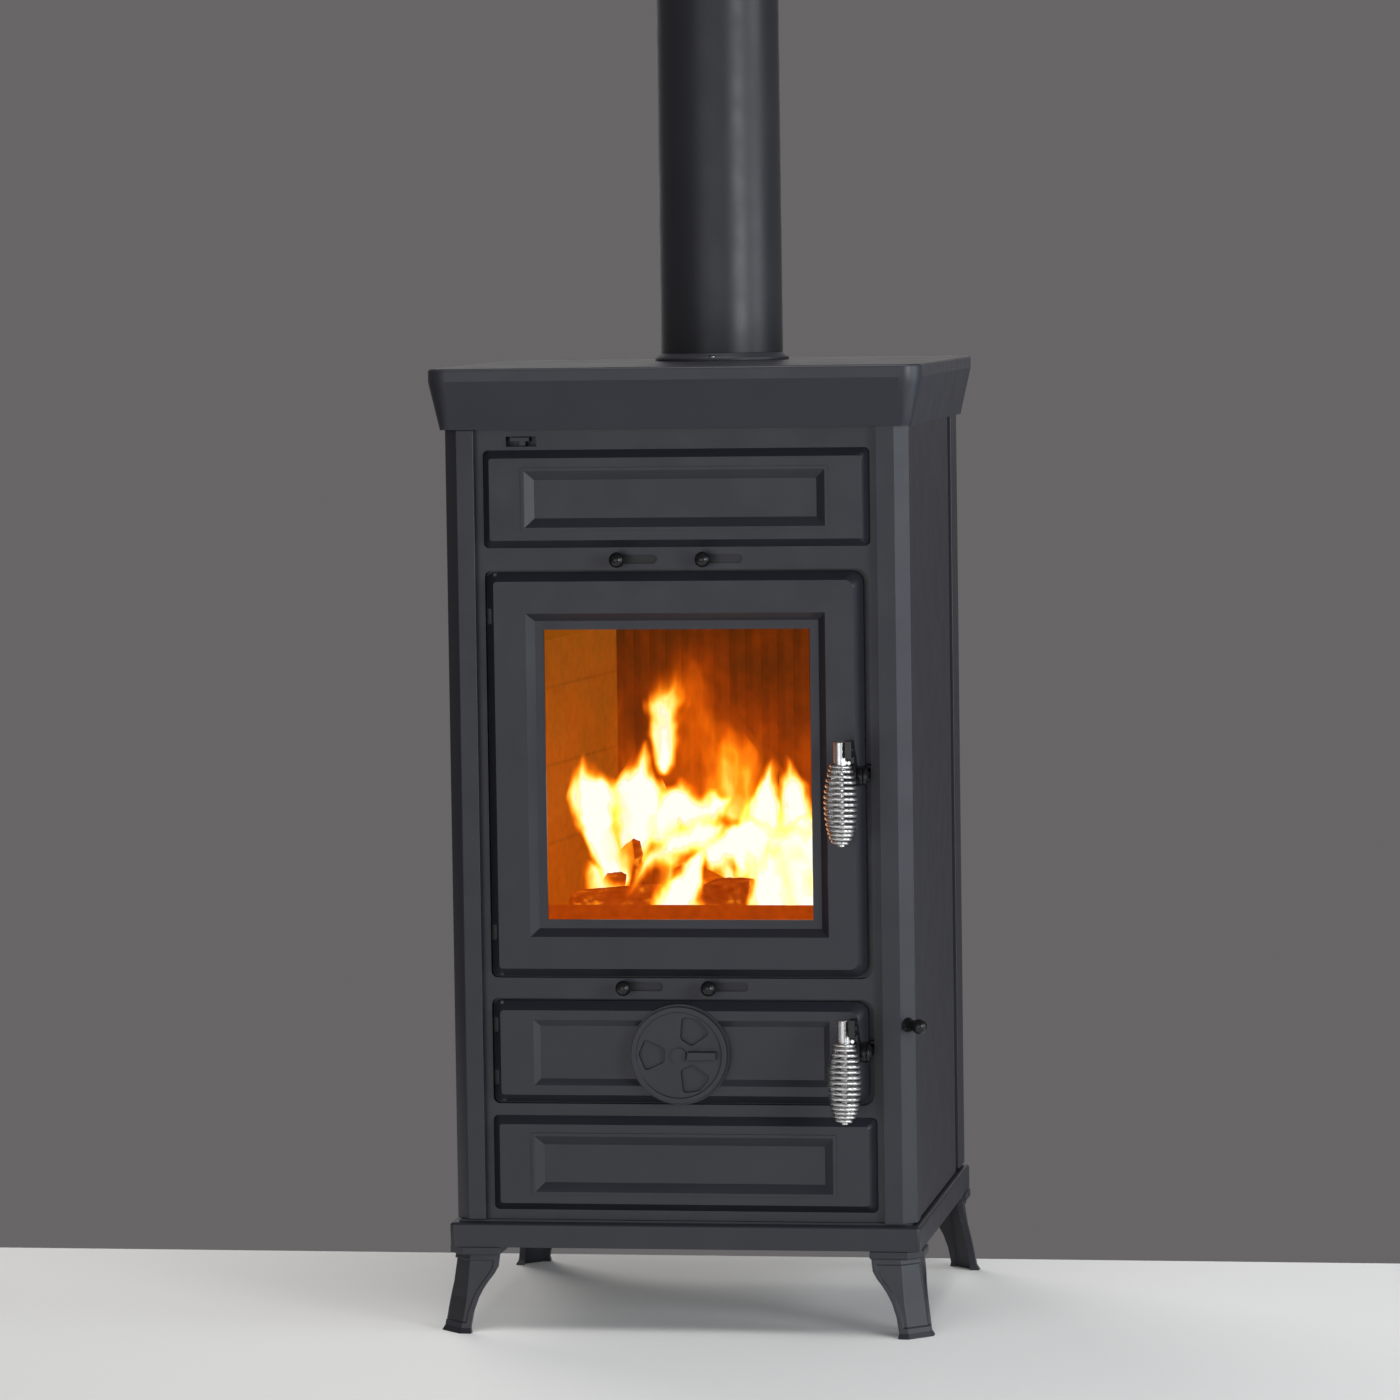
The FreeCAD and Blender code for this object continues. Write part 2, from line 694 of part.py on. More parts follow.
def hinge_pocket(z):
    """The room that a lug needs in the door while the door swings."""
    low = z - HINGE_POCKET_GAP
    high = z + HINGE_LUG_H + HINGE_POCKET_GAP
    half = HINGE_WEB / 2 + HINGE_POCKET_GAP
    reach = DOOR_BACK - HINGE_DEPTH + HINGE_IN
    swing = math.radians(HINGE_SWING)
    near = (half * -math.cos(swing), -half * math.sin(swing))
    far = (near[0] - reach * math.sin(swing), near[1] + reach * math.cos(swing))
    points = [(half, 0.0), (half, reach), (-reach, reach), far, near]
    corners = [at(HINGE_X + x, HINGE_DEPTH + e, low) for x, e in points]
    wedge = Part.Face(Part.makePolygon(corners + corners[:1])).extrude(V(0, 0, high - low))
    return fuse(bar_z(low, high, HINGE_X, HINGE_DEPTH, HINGE_LUG_R + HINGE_POCKET_GAP), wedge)


def front_plate():
    plate = box(-PLATE_X, PLATE_X, 0, PLATE_T, BODY_Z, TOP_UNDER)
    backing = box(-PLATE_X, OPEN_X1 + LATCH_GAP, PLATE_T, PLATE_BACK, BODY_Z, TOP_UNDER)
    plate = fuse(plate, backing)
    cuts = []
    for z, height in ((ASH_OPEN_Z, ASH_OPEN_H), (FIRE_OPEN_Z, FIRE_OPEN_H)):
        cuts.append(slab(front_wire(OPEN_X0, OPEN_X1, z, z + height, 0, DOOR_HINGE_CORNER, DOOR_CORNER), PLATE_T))
        inset = DOOR_GAP + REBATE
        cuts.append(box(DOOR_X0 + HINGE_REBATE, DOOR_X1 - REBATE, PLATE_T, PLATE_BACK,
                        z + inset, z + height - inset))
    for z in (LOWER_SLOT_Z, UPPER_SLOT_Z):
        for x in SLOT_X:
            cuts.append(rounded_slot(x - SLOT_L / 2, x + SLOT_L / 2, z, SLOT_H, 0, PLATE_BACK))
        inner0, inner1 = pair_guide_ends()
        half = SHUTTER_H / 2 + SEAT_GAP
        cuts.append(box(inner0, inner1, SLOT_SKIN, PLATE_BACK, z - half, z + half))
    cuts.append(box(TAB_SLOT_X0, TAB_SLOT_X0 + TAB_SLOT_W, 0, PLATE_BACK,
                    TAB_SLOT_Z - TAB_SLOT_H / 2, TAB_SLOT_Z + TAB_SLOT_H / 2))
    for base, axis in panel_screw_seats():
        cuts.append(Part.makeCylinder(M6_HEAD_R * 1.5, BACKING_T, base, V(0, 1, 0)))
        cuts.append(m6_hole(base, axis))
    for base, axis in guide_screw_seats():
        cuts.append(m6_hole(base, axis))
    for z in (FIRE_LATCH_Z, ASH_LATCH_Z):
        cuts.append(keeper(z, RUN_FIT))
    plate = plate.cut(cuts)
    for levels in hinge_levels().values():
        for z in levels:
            bore = bar_z(z, z + HINGE_LUG_H, HINGE_X, HINGE_DEPTH, PIN_R + RUN_FIT)
            plate = fuse(plate, hinge_lug(z)).cut(bore)
    return plate


def hinge_pins():
    pins = []
    for levels in hinge_levels().values():
        for z in levels:
            pins.append(bar_z(z - PIN_OVER, z + HINGE_LUG_H + PIN_OVER, HINGE_X, HINGE_DEPTH, PIN_R))
    return Part.makeCompound(pins)


def keeper(z, gap=0.0):
    """A pin in the side of the opening, just over the latch's hook."""
    middle = z + HOOK_H / 2 + SEAT_GAP + KEEPER_R
    depth = PLATE_T / 2
    return bar_x(HOOK_X0, OPEN_X1 + KEEPER_DEEP + gap, depth, middle, KEEPER_R + gap)


def latch_keepers():
    return Part.makeCompound([keeper(FIRE_LATCH_Z), keeper(ASH_LATCH_Z)])


# Panels

def raised_panel(z, height):
    half = PANEL_W / 2
    b = PANEL_BEVEL
    r = PANEL_FACE_CORNER
    body = loft([front_wire(-half, half, z, z + height, 0, PANEL_CORNER, PANEL_CORNER),
                 front_wire(-half + b, half - b, z + b, z + height - b, -PANEL_PROUD, r, r)])
    x = PANEL_RECESS_W / 2
    z0 = z + (height - PANEL_RECESS_H) / 2
    z1 = z0 + PANEL_RECESS_H
    bead = slab(front_wire(-x - BEAD_W, x + BEAD_W, z0 - BEAD_W, z1 + BEAD_W, -PANEL_PROUD - BEAD_PROUD), BEAD_PROUD)
    r = PANEL_RECESS_BEVEL
    sunk = loft([front_wire(-x, x, z0, z1, -PANEL_PROUD - BEAD_PROUD),
                 front_wire(-x + r, x - r, z0 + r, z1 - r, -PANEL_PROUD + PANEL_RECESS_DEPTH)])
    holes = [m6_hole(base, axis) for base, axis in panel_screw_seats()]
    return fuse(body, bead).cut([sunk] + holes)


def upper_panel():
    return raised_panel(UPPER_PANEL_Z, UPPER_PANEL_H)


def lower_panel():
    return raised_panel(LOWER_PANEL_Z, LOWER_PANEL_H)


def m6_screws():
    seats = panel_screw_seats() + guide_screw_seats() + collar_screw_seats()
    return Part.makeCompound([m6_screw(base, axis) for base, axis in seats])


# Top

def cornice_wire(z, inset, r):
    return plan_wire(-CORNICE_X + inset, CORNICE_X - inset, CORNICE_E0 + inset, CORNICE_E1 - inset, z, r)


def top_plate():
    band_z = TOP_Z - CORNICE_BAND
    band = Part.Face(cornice_wire(band_z, 0, CORNICE_CORNER)).extrude(V(0, 0, CORNICE_BAND))
    rim = [e for e in band.Edges if min(v.Z for v in e.Vertexes) > TOP_Z - 0.01]
    band = band.makeFillet(CORNICE_EDGE, rim)
    low_corner = CORNICE_CORNER - CORNICE_TAPER
    skirt = loft([cornice_wire(CORNICE_Z, CORNICE_TAPER, low_corner), cornice_wire(band_z, 0, CORNICE_CORNER)])
    wall = CORNICE_TAPER + CORNICE_WALL
    hollow = Part.Face(cornice_wire(CORNICE_Z, wall, CORNICE_CORNER / 2)).extrude(V(0, 0, TOP_UNDER - CORNICE_Z))
    plate = fuse(band, skirt).cut(hollow)
    bosses = [bar_z(TOP_UNDER - TIE_BOSS_H, TOP_UNDER, x, e, TIE_BOSS_R) for x, e in tie_places()]
    for base, axis in collar_screw_seats():
        bosses.append(Part.makeCylinder(M6_HEAD_R * 1.5, COLLAR_LIP, base, axis))
    plate = fuse(plate, *bosses)
    cuts = [bar_z(CORNICE_Z, TOP_Z, 0, FLUE_DEPTH, FLUE_R)]
    for x, e in tie_places():
        cuts.append(bar_z(CORNICE_Z, TOP_UNDER - TIE_BOSS_H + TIE_THREAD, x, e, M8_R + RUN_FIT))
    cuts += [m6_hole(base, axis) for base, axis in collar_screw_seats()]
    return plate.cut(cuts)


def tie_bolts():
    bolts = []
    low = BODY_Z - PLINTH_WALL
    for x, e in tie_places():
        head = hex_bar(M8_HEAD_R, M8_HEAD_H, at(x, e, low - M8_HEAD_H), V(0, 0, 1))
        bolts.append(fuse(head, bar_z(low, TOP_UNDER - TIE_BOSS_H + TIE_THREAD - 1, x, e, M8_R)))
    return Part.makeCompound(bolts)


def flue_collar():
    """A turned ring with a flared foot and a spigot that the pipe slips over."""
    spigot = PIPE_R - PIPE_T - SPIGOT_GAP
    seat = TOP_Z + COLLAR_H
    points = [(FLUE_R, TOP_Z), (COLLAR_R, TOP_Z), (COLLAR_R, TOP_Z + COLLAR_LIP),
              (PIPE_R + 0.5, seat - 1.0), (PIPE_R - 0.5, seat), (spigot, seat), (spigot, seat + SPIGOT_H),
              (FLUE_R, seat + SPIGOT_H)]
    corners = [at(r, FLUE_DEPTH, z) for r, z in points]
    ring = Part.Face(Part.makePolygon(corners + corners[:1])).revolve(at(0, FLUE_DEPTH, 0), V(0, 0, 1), 360)
    holes = [m6_hole(base, axis) for base, axis in collar_screw_seats()]
    return Part.Solid(ring).cut(holes)


def flue_pipe():
    base = TOP_Z + COLLAR_H
    tube = bar_z(base, base + PIPE_L, 0, FLUE_DEPTH, PIPE_R)
    return tube.cut(bar_z(base, base + PIPE_L, 0, FLUE_DEPTH, PIPE_R - PIPE_T))


# Firebox

def firebox_wall():
    """The right-hand wall with ledges for the ash floor, the firebox floor and the baffle."""
    wall = box(WALL_X, WALL_X + WALL_T, PLATE_BACK, BACK_PANEL_FRONT, BODY_Z, TOP_UNDER)
    ledges = []
    for top, front in ((ASH_FLOOR_Z, LINER_FRONT), (FLOOR_Z, LINER_FRONT), (BAFFLE_Z, BAFFLE_FRONT)):
        ledges.append(box(WALL_X - LEDGE_W, WALL_X, front, BACK_PANEL_FRONT, top - LEDGE_T, top))
    return fuse(wall, *ledges)


def firebox_wall_right():
    return firebox_wall().cut(riddle_bar(-BODY_W, 0, RIDDLE_R + RIDDLE_WALL_GAP))


def firebox_wall_left():
    return mirrored(firebox_wall())


def firebox_floor():
    plate = box(-WALL_X, WALL_X, PLATE_BACK, BACK_PANEL_FRONT, FLOOR_Z, FLOOR_TOP)
    seat = bar_z(FLOOR_Z + GRATE_LEDGE_T, FLOOR_TOP, 0, GRATE_DEPTH, GRATE_R + GRATE_GAP)
    drop = bar_z(FLOOR_Z, FLOOR_TOP, 0, GRATE_DEPTH, GRATE_R - GRATE_LEDGE)
    return plate.cut([seat, drop])


def ash_floor():
    return box(-WALL_X, WALL_X, PLATE_BACK, BACK_PANEL_FRONT, ASH_FLOOR_Z, ASH_FLOOR_TOP)


def crank_pin():
    x = CRANK_R * math.cos(CRANK_ANGLE)
    depth = GRATE_DEPTH + CRANK_R * math.sin(CRANK_ANGLE)
    return x, depth


def grate():
    """A round grate that turns in the floor, with a crank pin below."""
    low = FLOOR_Z + GRATE_LEDGE_T + SEAT_GAP
    disc = bar_z(low, FLOOR_TOP, 0, GRATE_DEPTH, GRATE_R)
    slots = []
    for k in range(GRATE_SLOTS):
        offset = (k - (GRATE_SLOTS - 1) / 2) * GRATE_SLOT_PITCH
        half = math.sqrt((GRATE_R - GRATE_MARGIN) ** 2 - (abs(offset) + GRATE_SLOT / 2) ** 2)
        depth = GRATE_DEPTH + offset
        slots.append(box(-half, half, depth - GRATE_SLOT / 2, depth + GRATE_SLOT / 2, low, FLOOR_TOP))
    x, depth = crank_pin()
    boss = bar_z(low, FLOOR_TOP, x, depth, CRANK_BOSS_R)
    pin = bar_z(RIDDLE_Z - RIDDLE_FORK_T / 2, low, x, depth, CRANK_PIN_R)
    return fuse(disc.cut(slots), boss, pin)


def riddling_rod():
    """The rod through the post's chamfer, with a slotted end round the grate's crank pin."""
    out = V(1, -1, 0).normalize()
    across = V(1, 1, 0).normalize()
    x, depth = crank_pin()
    pin = at(x, depth, RIDDLE_Z)
    start = (pin - at(CHAMFER_MID_X, CHAMFER_MID_DEPTH, RIDDLE_Z)).dot(out)
    on_line = at(CHAMFER_MID_X, CHAMFER_MID_DEPTH, RIDDLE_Z) + out * start
    rod = riddle_bar(start + RIDDLE_FORK / 2 - 1, RIDDLE_STEM, RIDDLE_R)
    plate = Part.makeBox(RIDDLE_FORK, RIDDLE_FORK, RIDDLE_FORK_T, V(-RIDDLE_FORK / 2, -RIDDLE_FORK / 2, 0))
    half = CRANK_PIN_R + RIDDLE_SLOT_GAP
    reach = CRANK_PIN_R + RIDDLE_SLOT_PLAY
    plate = plate.cut(Part.makeBox(2 * half, 2 * reach, RIDDLE_FORK_T, V(-half, -reach, 0)))
    turn = FreeCAD.Rotation(V(1, 0, 0), out)
    plate.Placement = FreeCAD.Placement(on_line - V(0, 0, RIDDLE_FORK_T / 2) - across * 0.5, turn)
    return fuse(rod, plate)


def riddling_knob():
    """A ball knob on a flared neck."""
    out = V(1, -1, 0).normalize()
    base = at(CHAMFER_MID_X, CHAMFER_MID_DEPTH, RIDDLE_Z) + out * SEAT_GAP
    ball = Part.makeSphere(RIDDLE_KNOB_R, base + out * (RIDDLE_STEM + RIDDLE_KNOB_R - 1.0))
    neck = riddle_bar(SEAT_GAP, RIDDLE_STEM + 1.0, RIDDLE_NECK_R)
    flange = Part.makeCone(RIDDLE_FLANGE_R, RIDDLE_NECK_R, RIDDLE_FLANGE_L, base, out)
    return fuse(ball, neck, flange).cut(riddle_bar(0, RIDDLE_STEM, RIDDLE_R + RUN_FIT))


def liner():
    """The right-hand liner, thicker at the back so that it throws the heat to the front."""
    back = BACK_PANEL_FRONT - REAR_LINER_GAP + LINER_T / 3
    points = [(WALL_X, LINER_FRONT), (WALL_X, back), (WALL_X - LINER_BACK_T, back), (WALL_X - LINER_T, LINER_FRONT)]
    corners = [at(x, e, FLOOR_TOP) for x, e in points]
    return Part.Face(Part.makePolygon(corners + corners[:1])).extrude(V(0, 0, LINER_H))


def rear_liner():
    """A cast liner with upright ribs towards the fire."""
    half = WALL_X - LINER_BACK_T - SEAT_GAP
    back = BACK_PANEL_FRONT - REAR_LINER_GAP
    plate = box(-half, half, back - REAR_LINER_T, back, FLOOR_TOP, FLOOR_TOP + LINER_H)
    ribs = []
    for k in range(RIB_COUNT):
        x = (k - (RIB_COUNT - 1) / 2) * RIB_PITCH
        front = back - REAR_LINER_T - RIB_DEEP
        ribs.append(box(x - RIB_W / 2, x + RIB_W / 2, front, back - REAR_LINER_T, FLOOR_TOP, FLOOR_TOP + LINER_H))
    return fuse(plate, *ribs)


def baffle():
    half = WALL_X - SEAT_GAP
    return box(-half, half, BAFFLE_FRONT, BACK_PANEL_FRONT - SEAT_GAP, BAFFLE_Z, BAFFLE_Z + BAFFLE_T)


def log_guard():
    return box(-GUARD_W / 2, GUARD_W / 2, GUARD_DEPTH, GUARD_DEPTH + GUARD_T, FLOOR_TOP, FLOOR_TOP + GUARD_H)


def ash_pan():
    x0 = DOOR_X0 + HINGE_REBATE + PAN_SIDE
    x1 = DOOR_X1 - REBATE - PAN_SIDE
    top = ASH_FLOOR_TOP + PAN_H
    shell = box(x0, x1, PAN_FRONT, PAN_BACK, ASH_FLOOR_TOP, top)
    shell = shell.cut(box(x0 + PAN_T, x1 - PAN_T, PAN_FRONT + PAN_T, PAN_BACK - PAN_T, ASH_FLOOR_TOP + PAN_T, top))
    middle = (x0 + x1) / 2
    g0 = middle - PAN_GRIP_W / 2
    g1 = middle + PAN_GRIP_W / 2
    lip = box(g0, g1, PAN_FRONT - PAN_GRIP_OUT, PAN_FRONT, top - PAN_T, top)
    hang = box(g0, g1, PAN_FRONT - PAN_GRIP_OUT, PAN_FRONT - PAN_GRIP_OUT + PAN_T, top - PAN_GRIP_DROP, top)
    return fuse(shell, lip, hang)


# Doors

def door_slab(z, height):
    """A door with bevelled edges, relieved behind on the hinge side so that it can swing."""
    z0 = z + DOOR_GAP
    z1 = z + height - DOOR_GAP
    rim = front_wire(DOOR_X0, DOOR_X1, z0, z1, 0, DOOR_HINGE_CORNER, DOOR_CORNER)
    face = front_wire(DOOR_X0 + DOOR_BEVEL, DOOR_X1 - DOOR_BEVEL, z0 + DOOR_BEVEL, z1 - DOOR_BEVEL, -DOOR_PROUD,
                      DOOR_HINGE_FACE_CORNER, DOOR_FACE_CORNER)
    points = [(0.0, -HINGE_RELIEF), (HINGE_RELIEF, 0.0), (0.0, 0.0)]
    corners = [at(DOOR_X0 + x, DOOR_BACK + e, z0) for x, e in points]
    relief = Part.Face(Part.makePolygon(corners + corners[:1])).extrude(V(0, 0, z1 - z0))
    return fuse(loft([rim, face]), slab(rim, DOOR_BACK)).cut(relief), z0, z1


def seal_wire(z0, z1, inset, depth, corner):
    x0 = DOOR_X0 + SEAL_HINGE_EXTRA + inset
    return front_wire(x0, DOOR_X1 - inset, z0 + inset, z1 - inset, depth, corner, corner)


def seal_groove(z0, z1):
    half = SEAL_R + GROOVE_GAP
    floor = DOOR_BACK - GROOVE_DEPTH
    outer = slab(seal_wire(z0, z1, SEAL_INSET - half, floor, SEAL_CORNER + half), GROOVE_DEPTH)
    inner = slab(seal_wire(z0, z1, SEAL_INSET + half, floor, SEAL_CORNER - half), GROOVE_DEPTH)
    return outer.cut(inner)


def rope_seal(z0, z1):
    """A rope seal in its groove, a little clear of the frame that it closes on."""
    depth = PLATE_T - SEAT_GAP - SEAL_R
    path = seal_wire(z0, z1, SEAL_INSET, depth, SEAL_CORNER)
    start = path.Vertexes[0].Point
    along = path.Edges[0].tangentAt(path.Edges[0].FirstParameter)
    profile = Part.Wire(Part.makeCircle(SEAL_R, start, along))
    return Part.Solid(path.makePipeShell([profile], True, True))


def hinge_cuts(levels, z0, z1):
    """Pockets for the fixed lugs, and pin bores drilled from the door's lower and upper end."""
    gap = PIN_R + RUN_FIT
    low, high = levels
    cuts = [hinge_pocket(low), hinge_pocket(high)]
    cuts.append(bar_z(z0, low + HINGE_LUG_H + PIN_OVER + 1, HINGE_X, HINGE_DEPTH, gap))
    cuts.append(bar_z(high - PIN_OVER - 1, z1, HINGE_X, HINGE_DEPTH, gap))
    return cuts


def latch_lug(z):
    """The bearing on the door's edge that the latch spindle turns in."""
    barrel = bar_x(LUG_X0, LUG_X1, -LATCH_OUT, z, LUG_R)
    web = box(LUG_X0, DOOR_X1, -LATCH_OUT, 0, z - LUG_R, z + LUG_R)
    return fuse(barrel, web), bar_x(LUG_X0 - 1, LUG_X1 + 1, -LATCH_OUT, z, SPINDLE_R + RUN_FIT)


def window_box():
    """The window recess's edges at the door's face."""
    z0 = FIRE_OPEN_Z + DOOR_GAP + WINDOW_MARGIN_Z
    z1 = FIRE_OPEN_Z + FIRE_OPEN_H - DOOR_GAP - WINDOW_MARGIN_Z
    return DOOR_X0 + WINDOW_MARGIN_X0, DOOR_X1 - WINDOW_MARGIN_X1, z0, z1


def inset_wire(edges, inset, depth):
    x0, x1, z0, z1 = edges
    return front_wire(x0 + inset, x1 - inset, z0 + inset, z1 - inset, depth)


def glass_inset():
    return WINDOW_BEVEL + WINDOW_LIP - GLASS_LAP


def glass_depth():
    return -DOOR_PROUD + WINDOW_DEPTH + GLASS_SEAT


def clip_places():
    x0, x1, z0, z1 = window_box()
    heights = [z0 + (z1 - z0) * k / 4 for k in (1, 3)]
    return [(side, z) for side in (-1, 1) for z in heights]


def clip_edge(side):
    """X of the glass pocket's edge on one side."""
    x0, x1, _, _ = window_box()
    inset = glass_inset() - 1.0
    return x0 + inset if side < 0 else x1 - inset


def fire_door():
    door, z0, z1 = door_slab(FIRE_OPEN_Z, FIRE_OPEN_H)
    lug, bore = latch_lug(FIRE_LATCH_Z)
    edges = window_box()
    recess = loft([inset_wire(edges, 0, -DOOR_PROUD), inset_wire(edges, WINDOW_BEVEL, -DOOR_PROUD + WINDOW_DEPTH)])
    through = slab(inset_wire(edges, WINDOW_BEVEL + WINDOW_LIP, -DOOR_PROUD), DOOR_PROUD + DOOR_BACK)
    pocket = slab(inset_wire(edges, glass_inset() - 1.0, glass_depth()), DOOR_BACK - glass_depth())
    cuts = [bore, recess, through, pocket, seal_groove(z0, z1)] + hinge_cuts(hinge_levels()["fire"], z0, z1)
    for side, z in clip_places():
        x = clip_edge(side) + side * CLIP_REACH / 2
        cuts.append(bar_y(DOOR_BACK - CLIP_SCREW_L, DOOR_BACK, x, z, CLIP_SCREW_R + RUN_FIT))
    return fuse(door, lug).cut(cuts)


def fire_door_seal():
    return rope_seal(FIRE_OPEN_Z + DOOR_GAP, FIRE_OPEN_Z + FIRE_OPEN_H - DOOR_GAP)


def ash_door_seal():
    return rope_seal(ASH_OPEN_Z + DOOR_GAP, ASH_OPEN_Z + ASH_OPEN_H - DOOR_GAP)


def glass_gasket():
    edges = window_box()
    outer = slab(inset_wire(edges, glass_inset(), glass_depth()), GASKET_T)
    return outer.cut(slab(inset_wire(edges, glass_inset() + GASKET_W, glass_depth()), GASKET_T))


def door_glass():
    return slab(inset_wire(window_box(), glass_inset(), glass_depth() + GASKET_T), GLASS_T)


def glass_clips():
    """Z-shaped clips on the door's back that press on the glass."""
    glass_back = glass_depth() + GASKET_T + GLASS_T
    clips = []
    for side, z in clip_places():
        edge = clip_edge(side)
        ends = sorted([edge + side * CLIP_REACH, edge - side * (CLIP_FOOT + 2.0)])
        foot_ends = sorted([edge - side * 2.0, edge - side * (CLIP_FOOT + 2.0)])
        plate = box(ends[0], ends[1], DOOR_BACK, DOOR_BACK + CLIP_T, z - CLIP_W / 2, z + CLIP_W / 2)
        press = box(foot_ends[0], foot_ends[1], glass_back, DOOR_BACK, z - CLIP_W / 2, z + CLIP_W / 2)
        x = edge + side * CLIP_REACH / 2
        clips.append(fuse(plate, press).cut(bar_y(DOOR_BACK, DOOR_BACK + CLIP_T, x, z, CLIP_SCREW_R + RUN_FIT)))
    return Part.makeCompound(clips)


def clip_screws():
    screws = []
    for side, z in clip_places():
        x = clip_edge(side) + side * CLIP_REACH / 2
        back = DOOR_BACK + CLIP_T
        shank = bar_y(DOOR_BACK - CLIP_SCREW_L + 1, back, x, z, CLIP_SCREW_R)
        screws.append(fuse(shank, bar_y(back, back + CLIP_SCREW_R, x, z, CLIP_SCREW_R * 1.8)))
    return Part.makeCompound(screws)


def spinner_port(angle, e0, e1, spread):
    """A rounded sector-shaped port at one angle round the spinner's centre."""
    half = math.radians(spread / 2)
    corners = []
    for r, turn in ((PORT_R0, -half), (PORT_R1, -half), (PORT_R1 / math.cos(half) * 0.97, 0.0), (PORT_R1, half),
                    (PORT_R0, half)):
        a = math.radians(angle) + turn
        corners.append((SPINNER_X + r * math.cos(a), SPINNER_Z + r * math.sin(a), PORT_CORNER))
    return slab(outline(corners, lambda p: at(p.x, e0, p.y)), e1 - e0)


def port_angles(first):
    return [first + 360.0 * k / SPINNER_PORTS for k in range(SPINNER_PORTS)]


def ash_door():
    door, z0, z1 = door_slab(ASH_OPEN_Z, ASH_OPEN_H)
    lug, bore = latch_lug(ASH_LATCH_Z)
    edges = (DOOR_X0 + ASH_RECESS_X0, DOOR_X1 - ASH_RECESS_X1, z0 + ASH_RECESS_Z, z1 - ASH_RECESS_Z)
    recess = loft([inset_wire(edges, 0, -DOOR_PROUD),
                   inset_wire(edges, ASH_RECESS_BEVEL, -DOOR_PROUD + ASH_RECESS_DEPTH)])
    seat = bar_y(SPINNER_FACE, 0, SPINNER_X, SPINNER_Z, SPINNER_R + SPINNER_SEAT)
    door = fuse(door.cut(recess), lug, seat)
    cuts = [bore, seal_groove(z0, z1)] + hinge_cuts(hinge_levels()["ash"], z0, z1)
    cuts.append(bar_y(SPINNER_FACE, DOOR_BACK, SPINNER_X, SPINNER_Z, SPINNER_BOLT_R + RUN_FIT))
    cuts += [spinner_port(angle, SPINNER_FACE, DOOR_BACK, PORT_ANGLE) for angle in port_angles(0)]
    return door.cut(cuts)


def air_spinner():
    """The turning disc with three ports, a raised rim and a finger tab."""
    back = SPINNER_FACE - SEAT_GAP
    front = back - SPINNER_T
    disc = bar_y(front, back, SPINNER_X, SPINNER_Z, SPINNER_R)
    rim = bar_y(front - SPINNER_RIM_PROUD, front, SPINNER_X, SPINNER_Z, SPINNER_R)
    rim = rim.cut(bar_y(front - SPINNER_RIM_PROUD, front, SPINNER_X, SPINNER_Z, SPINNER_R - SPINNER_RIM))
    tab = box(SPINNER_X + TAB_R0, SPINNER_X + TAB_R0 + TAB_L, front - TAB_PROUD, front,
              SPINNER_Z - TAB_W / 2, SPINNER_Z + TAB_W / 2)
    cuts = [spinner_port(angle, front, back, PORT_ANGLE) for angle in port_angles(180)]
    cuts.append(bar_y(front, back, SPINNER_X, SPINNER_Z, SPINNER_BOLT_R + RUN_FIT))
    return fuse(disc, rim, tab).cut(cuts)


def spinner_bolt():
    front = SPINNER_FACE - 2 * SEAT_GAP - SPINNER_T
    head = bar_y(front - SPINNER_HEAD_H, front, SPINNER_X, SPINNER_Z, SPINNER_HEAD_R)
    shank = bar_y(front, DOOR_BACK + SPINNER_NUT_H, SPINNER_X, SPINNER_Z, SPINNER_BOLT_R)
    nut = hex_bar(SPINNER_NUT_R, SPINNER_NUT_H, at(SPINNER_X, DOOR_BACK, SPINNER_Z), V(0, 1, 0))
    return fuse(head, shank, nut)


# Latches

def latch_lever(z):
    """The lever with its spindle: a hub, an arm that leans forward and a fore-arm along the grip's head."""
    points = [(-6.0, -6.0), (-LEVER_NECK, LEVER_TOP - LEVER_FORE_H - 6.0), (-LEVER_NECK, LEVER_TOP - LEVER_FORE_H),
              (-LEVER_FORE_REACH, LEVER_TOP - LEVER_FORE_H), (-LEVER_FORE_REACH, LEVER_TOP), (-LEVER_NECK, LEVER_TOP),
              (6.0, 6.0)]
    corners = [at(LEVER_X0, -LATCH_OUT + e, z + rise) for e, rise in points]
    arm = Part.Face(Part.makePolygon(corners + corners[:1])).extrude(V(LEVER_T, 0, 0))
    hub = bar_x(LEVER_X0, LEVER_X1, -LATCH_OUT, z, LUG_R)
    spindle = bar_x(LEVER_X0 - 1, HOOK_X0 + HOOK_T + 1, -LATCH_OUT, z, SPINDLE_R)
    pin = bar_x(GRIP_X - ROD_R / 2, LEVER_X1 + 1, GRIP_DEPTH, z + ROD_PIN_Z, ROD_PIN_R)
    return fuse(arm, hub, spindle, pin)


def latch_hook(z):
    """The finger on the spindle's end that reaches in under the keeper pin."""
    finger = box(HOOK_X0, HOOK_X0 + HOOK_T, -LATCH_OUT, PLATE_T - HOOK_END_GAP, z - HOOK_H / 2, z + HOOK_H / 2)
    hub = bar_x(HOOK_X0, HOOK_X0 + HOOK_T, -LATCH_OUT, z, LUG_R)
    return fuse(finger, hub).cut(bar_x(HOOK_X0, HOOK_X0 + HOOK_T, -LATCH_OUT, z, SPINDLE_R + RUN_FIT))


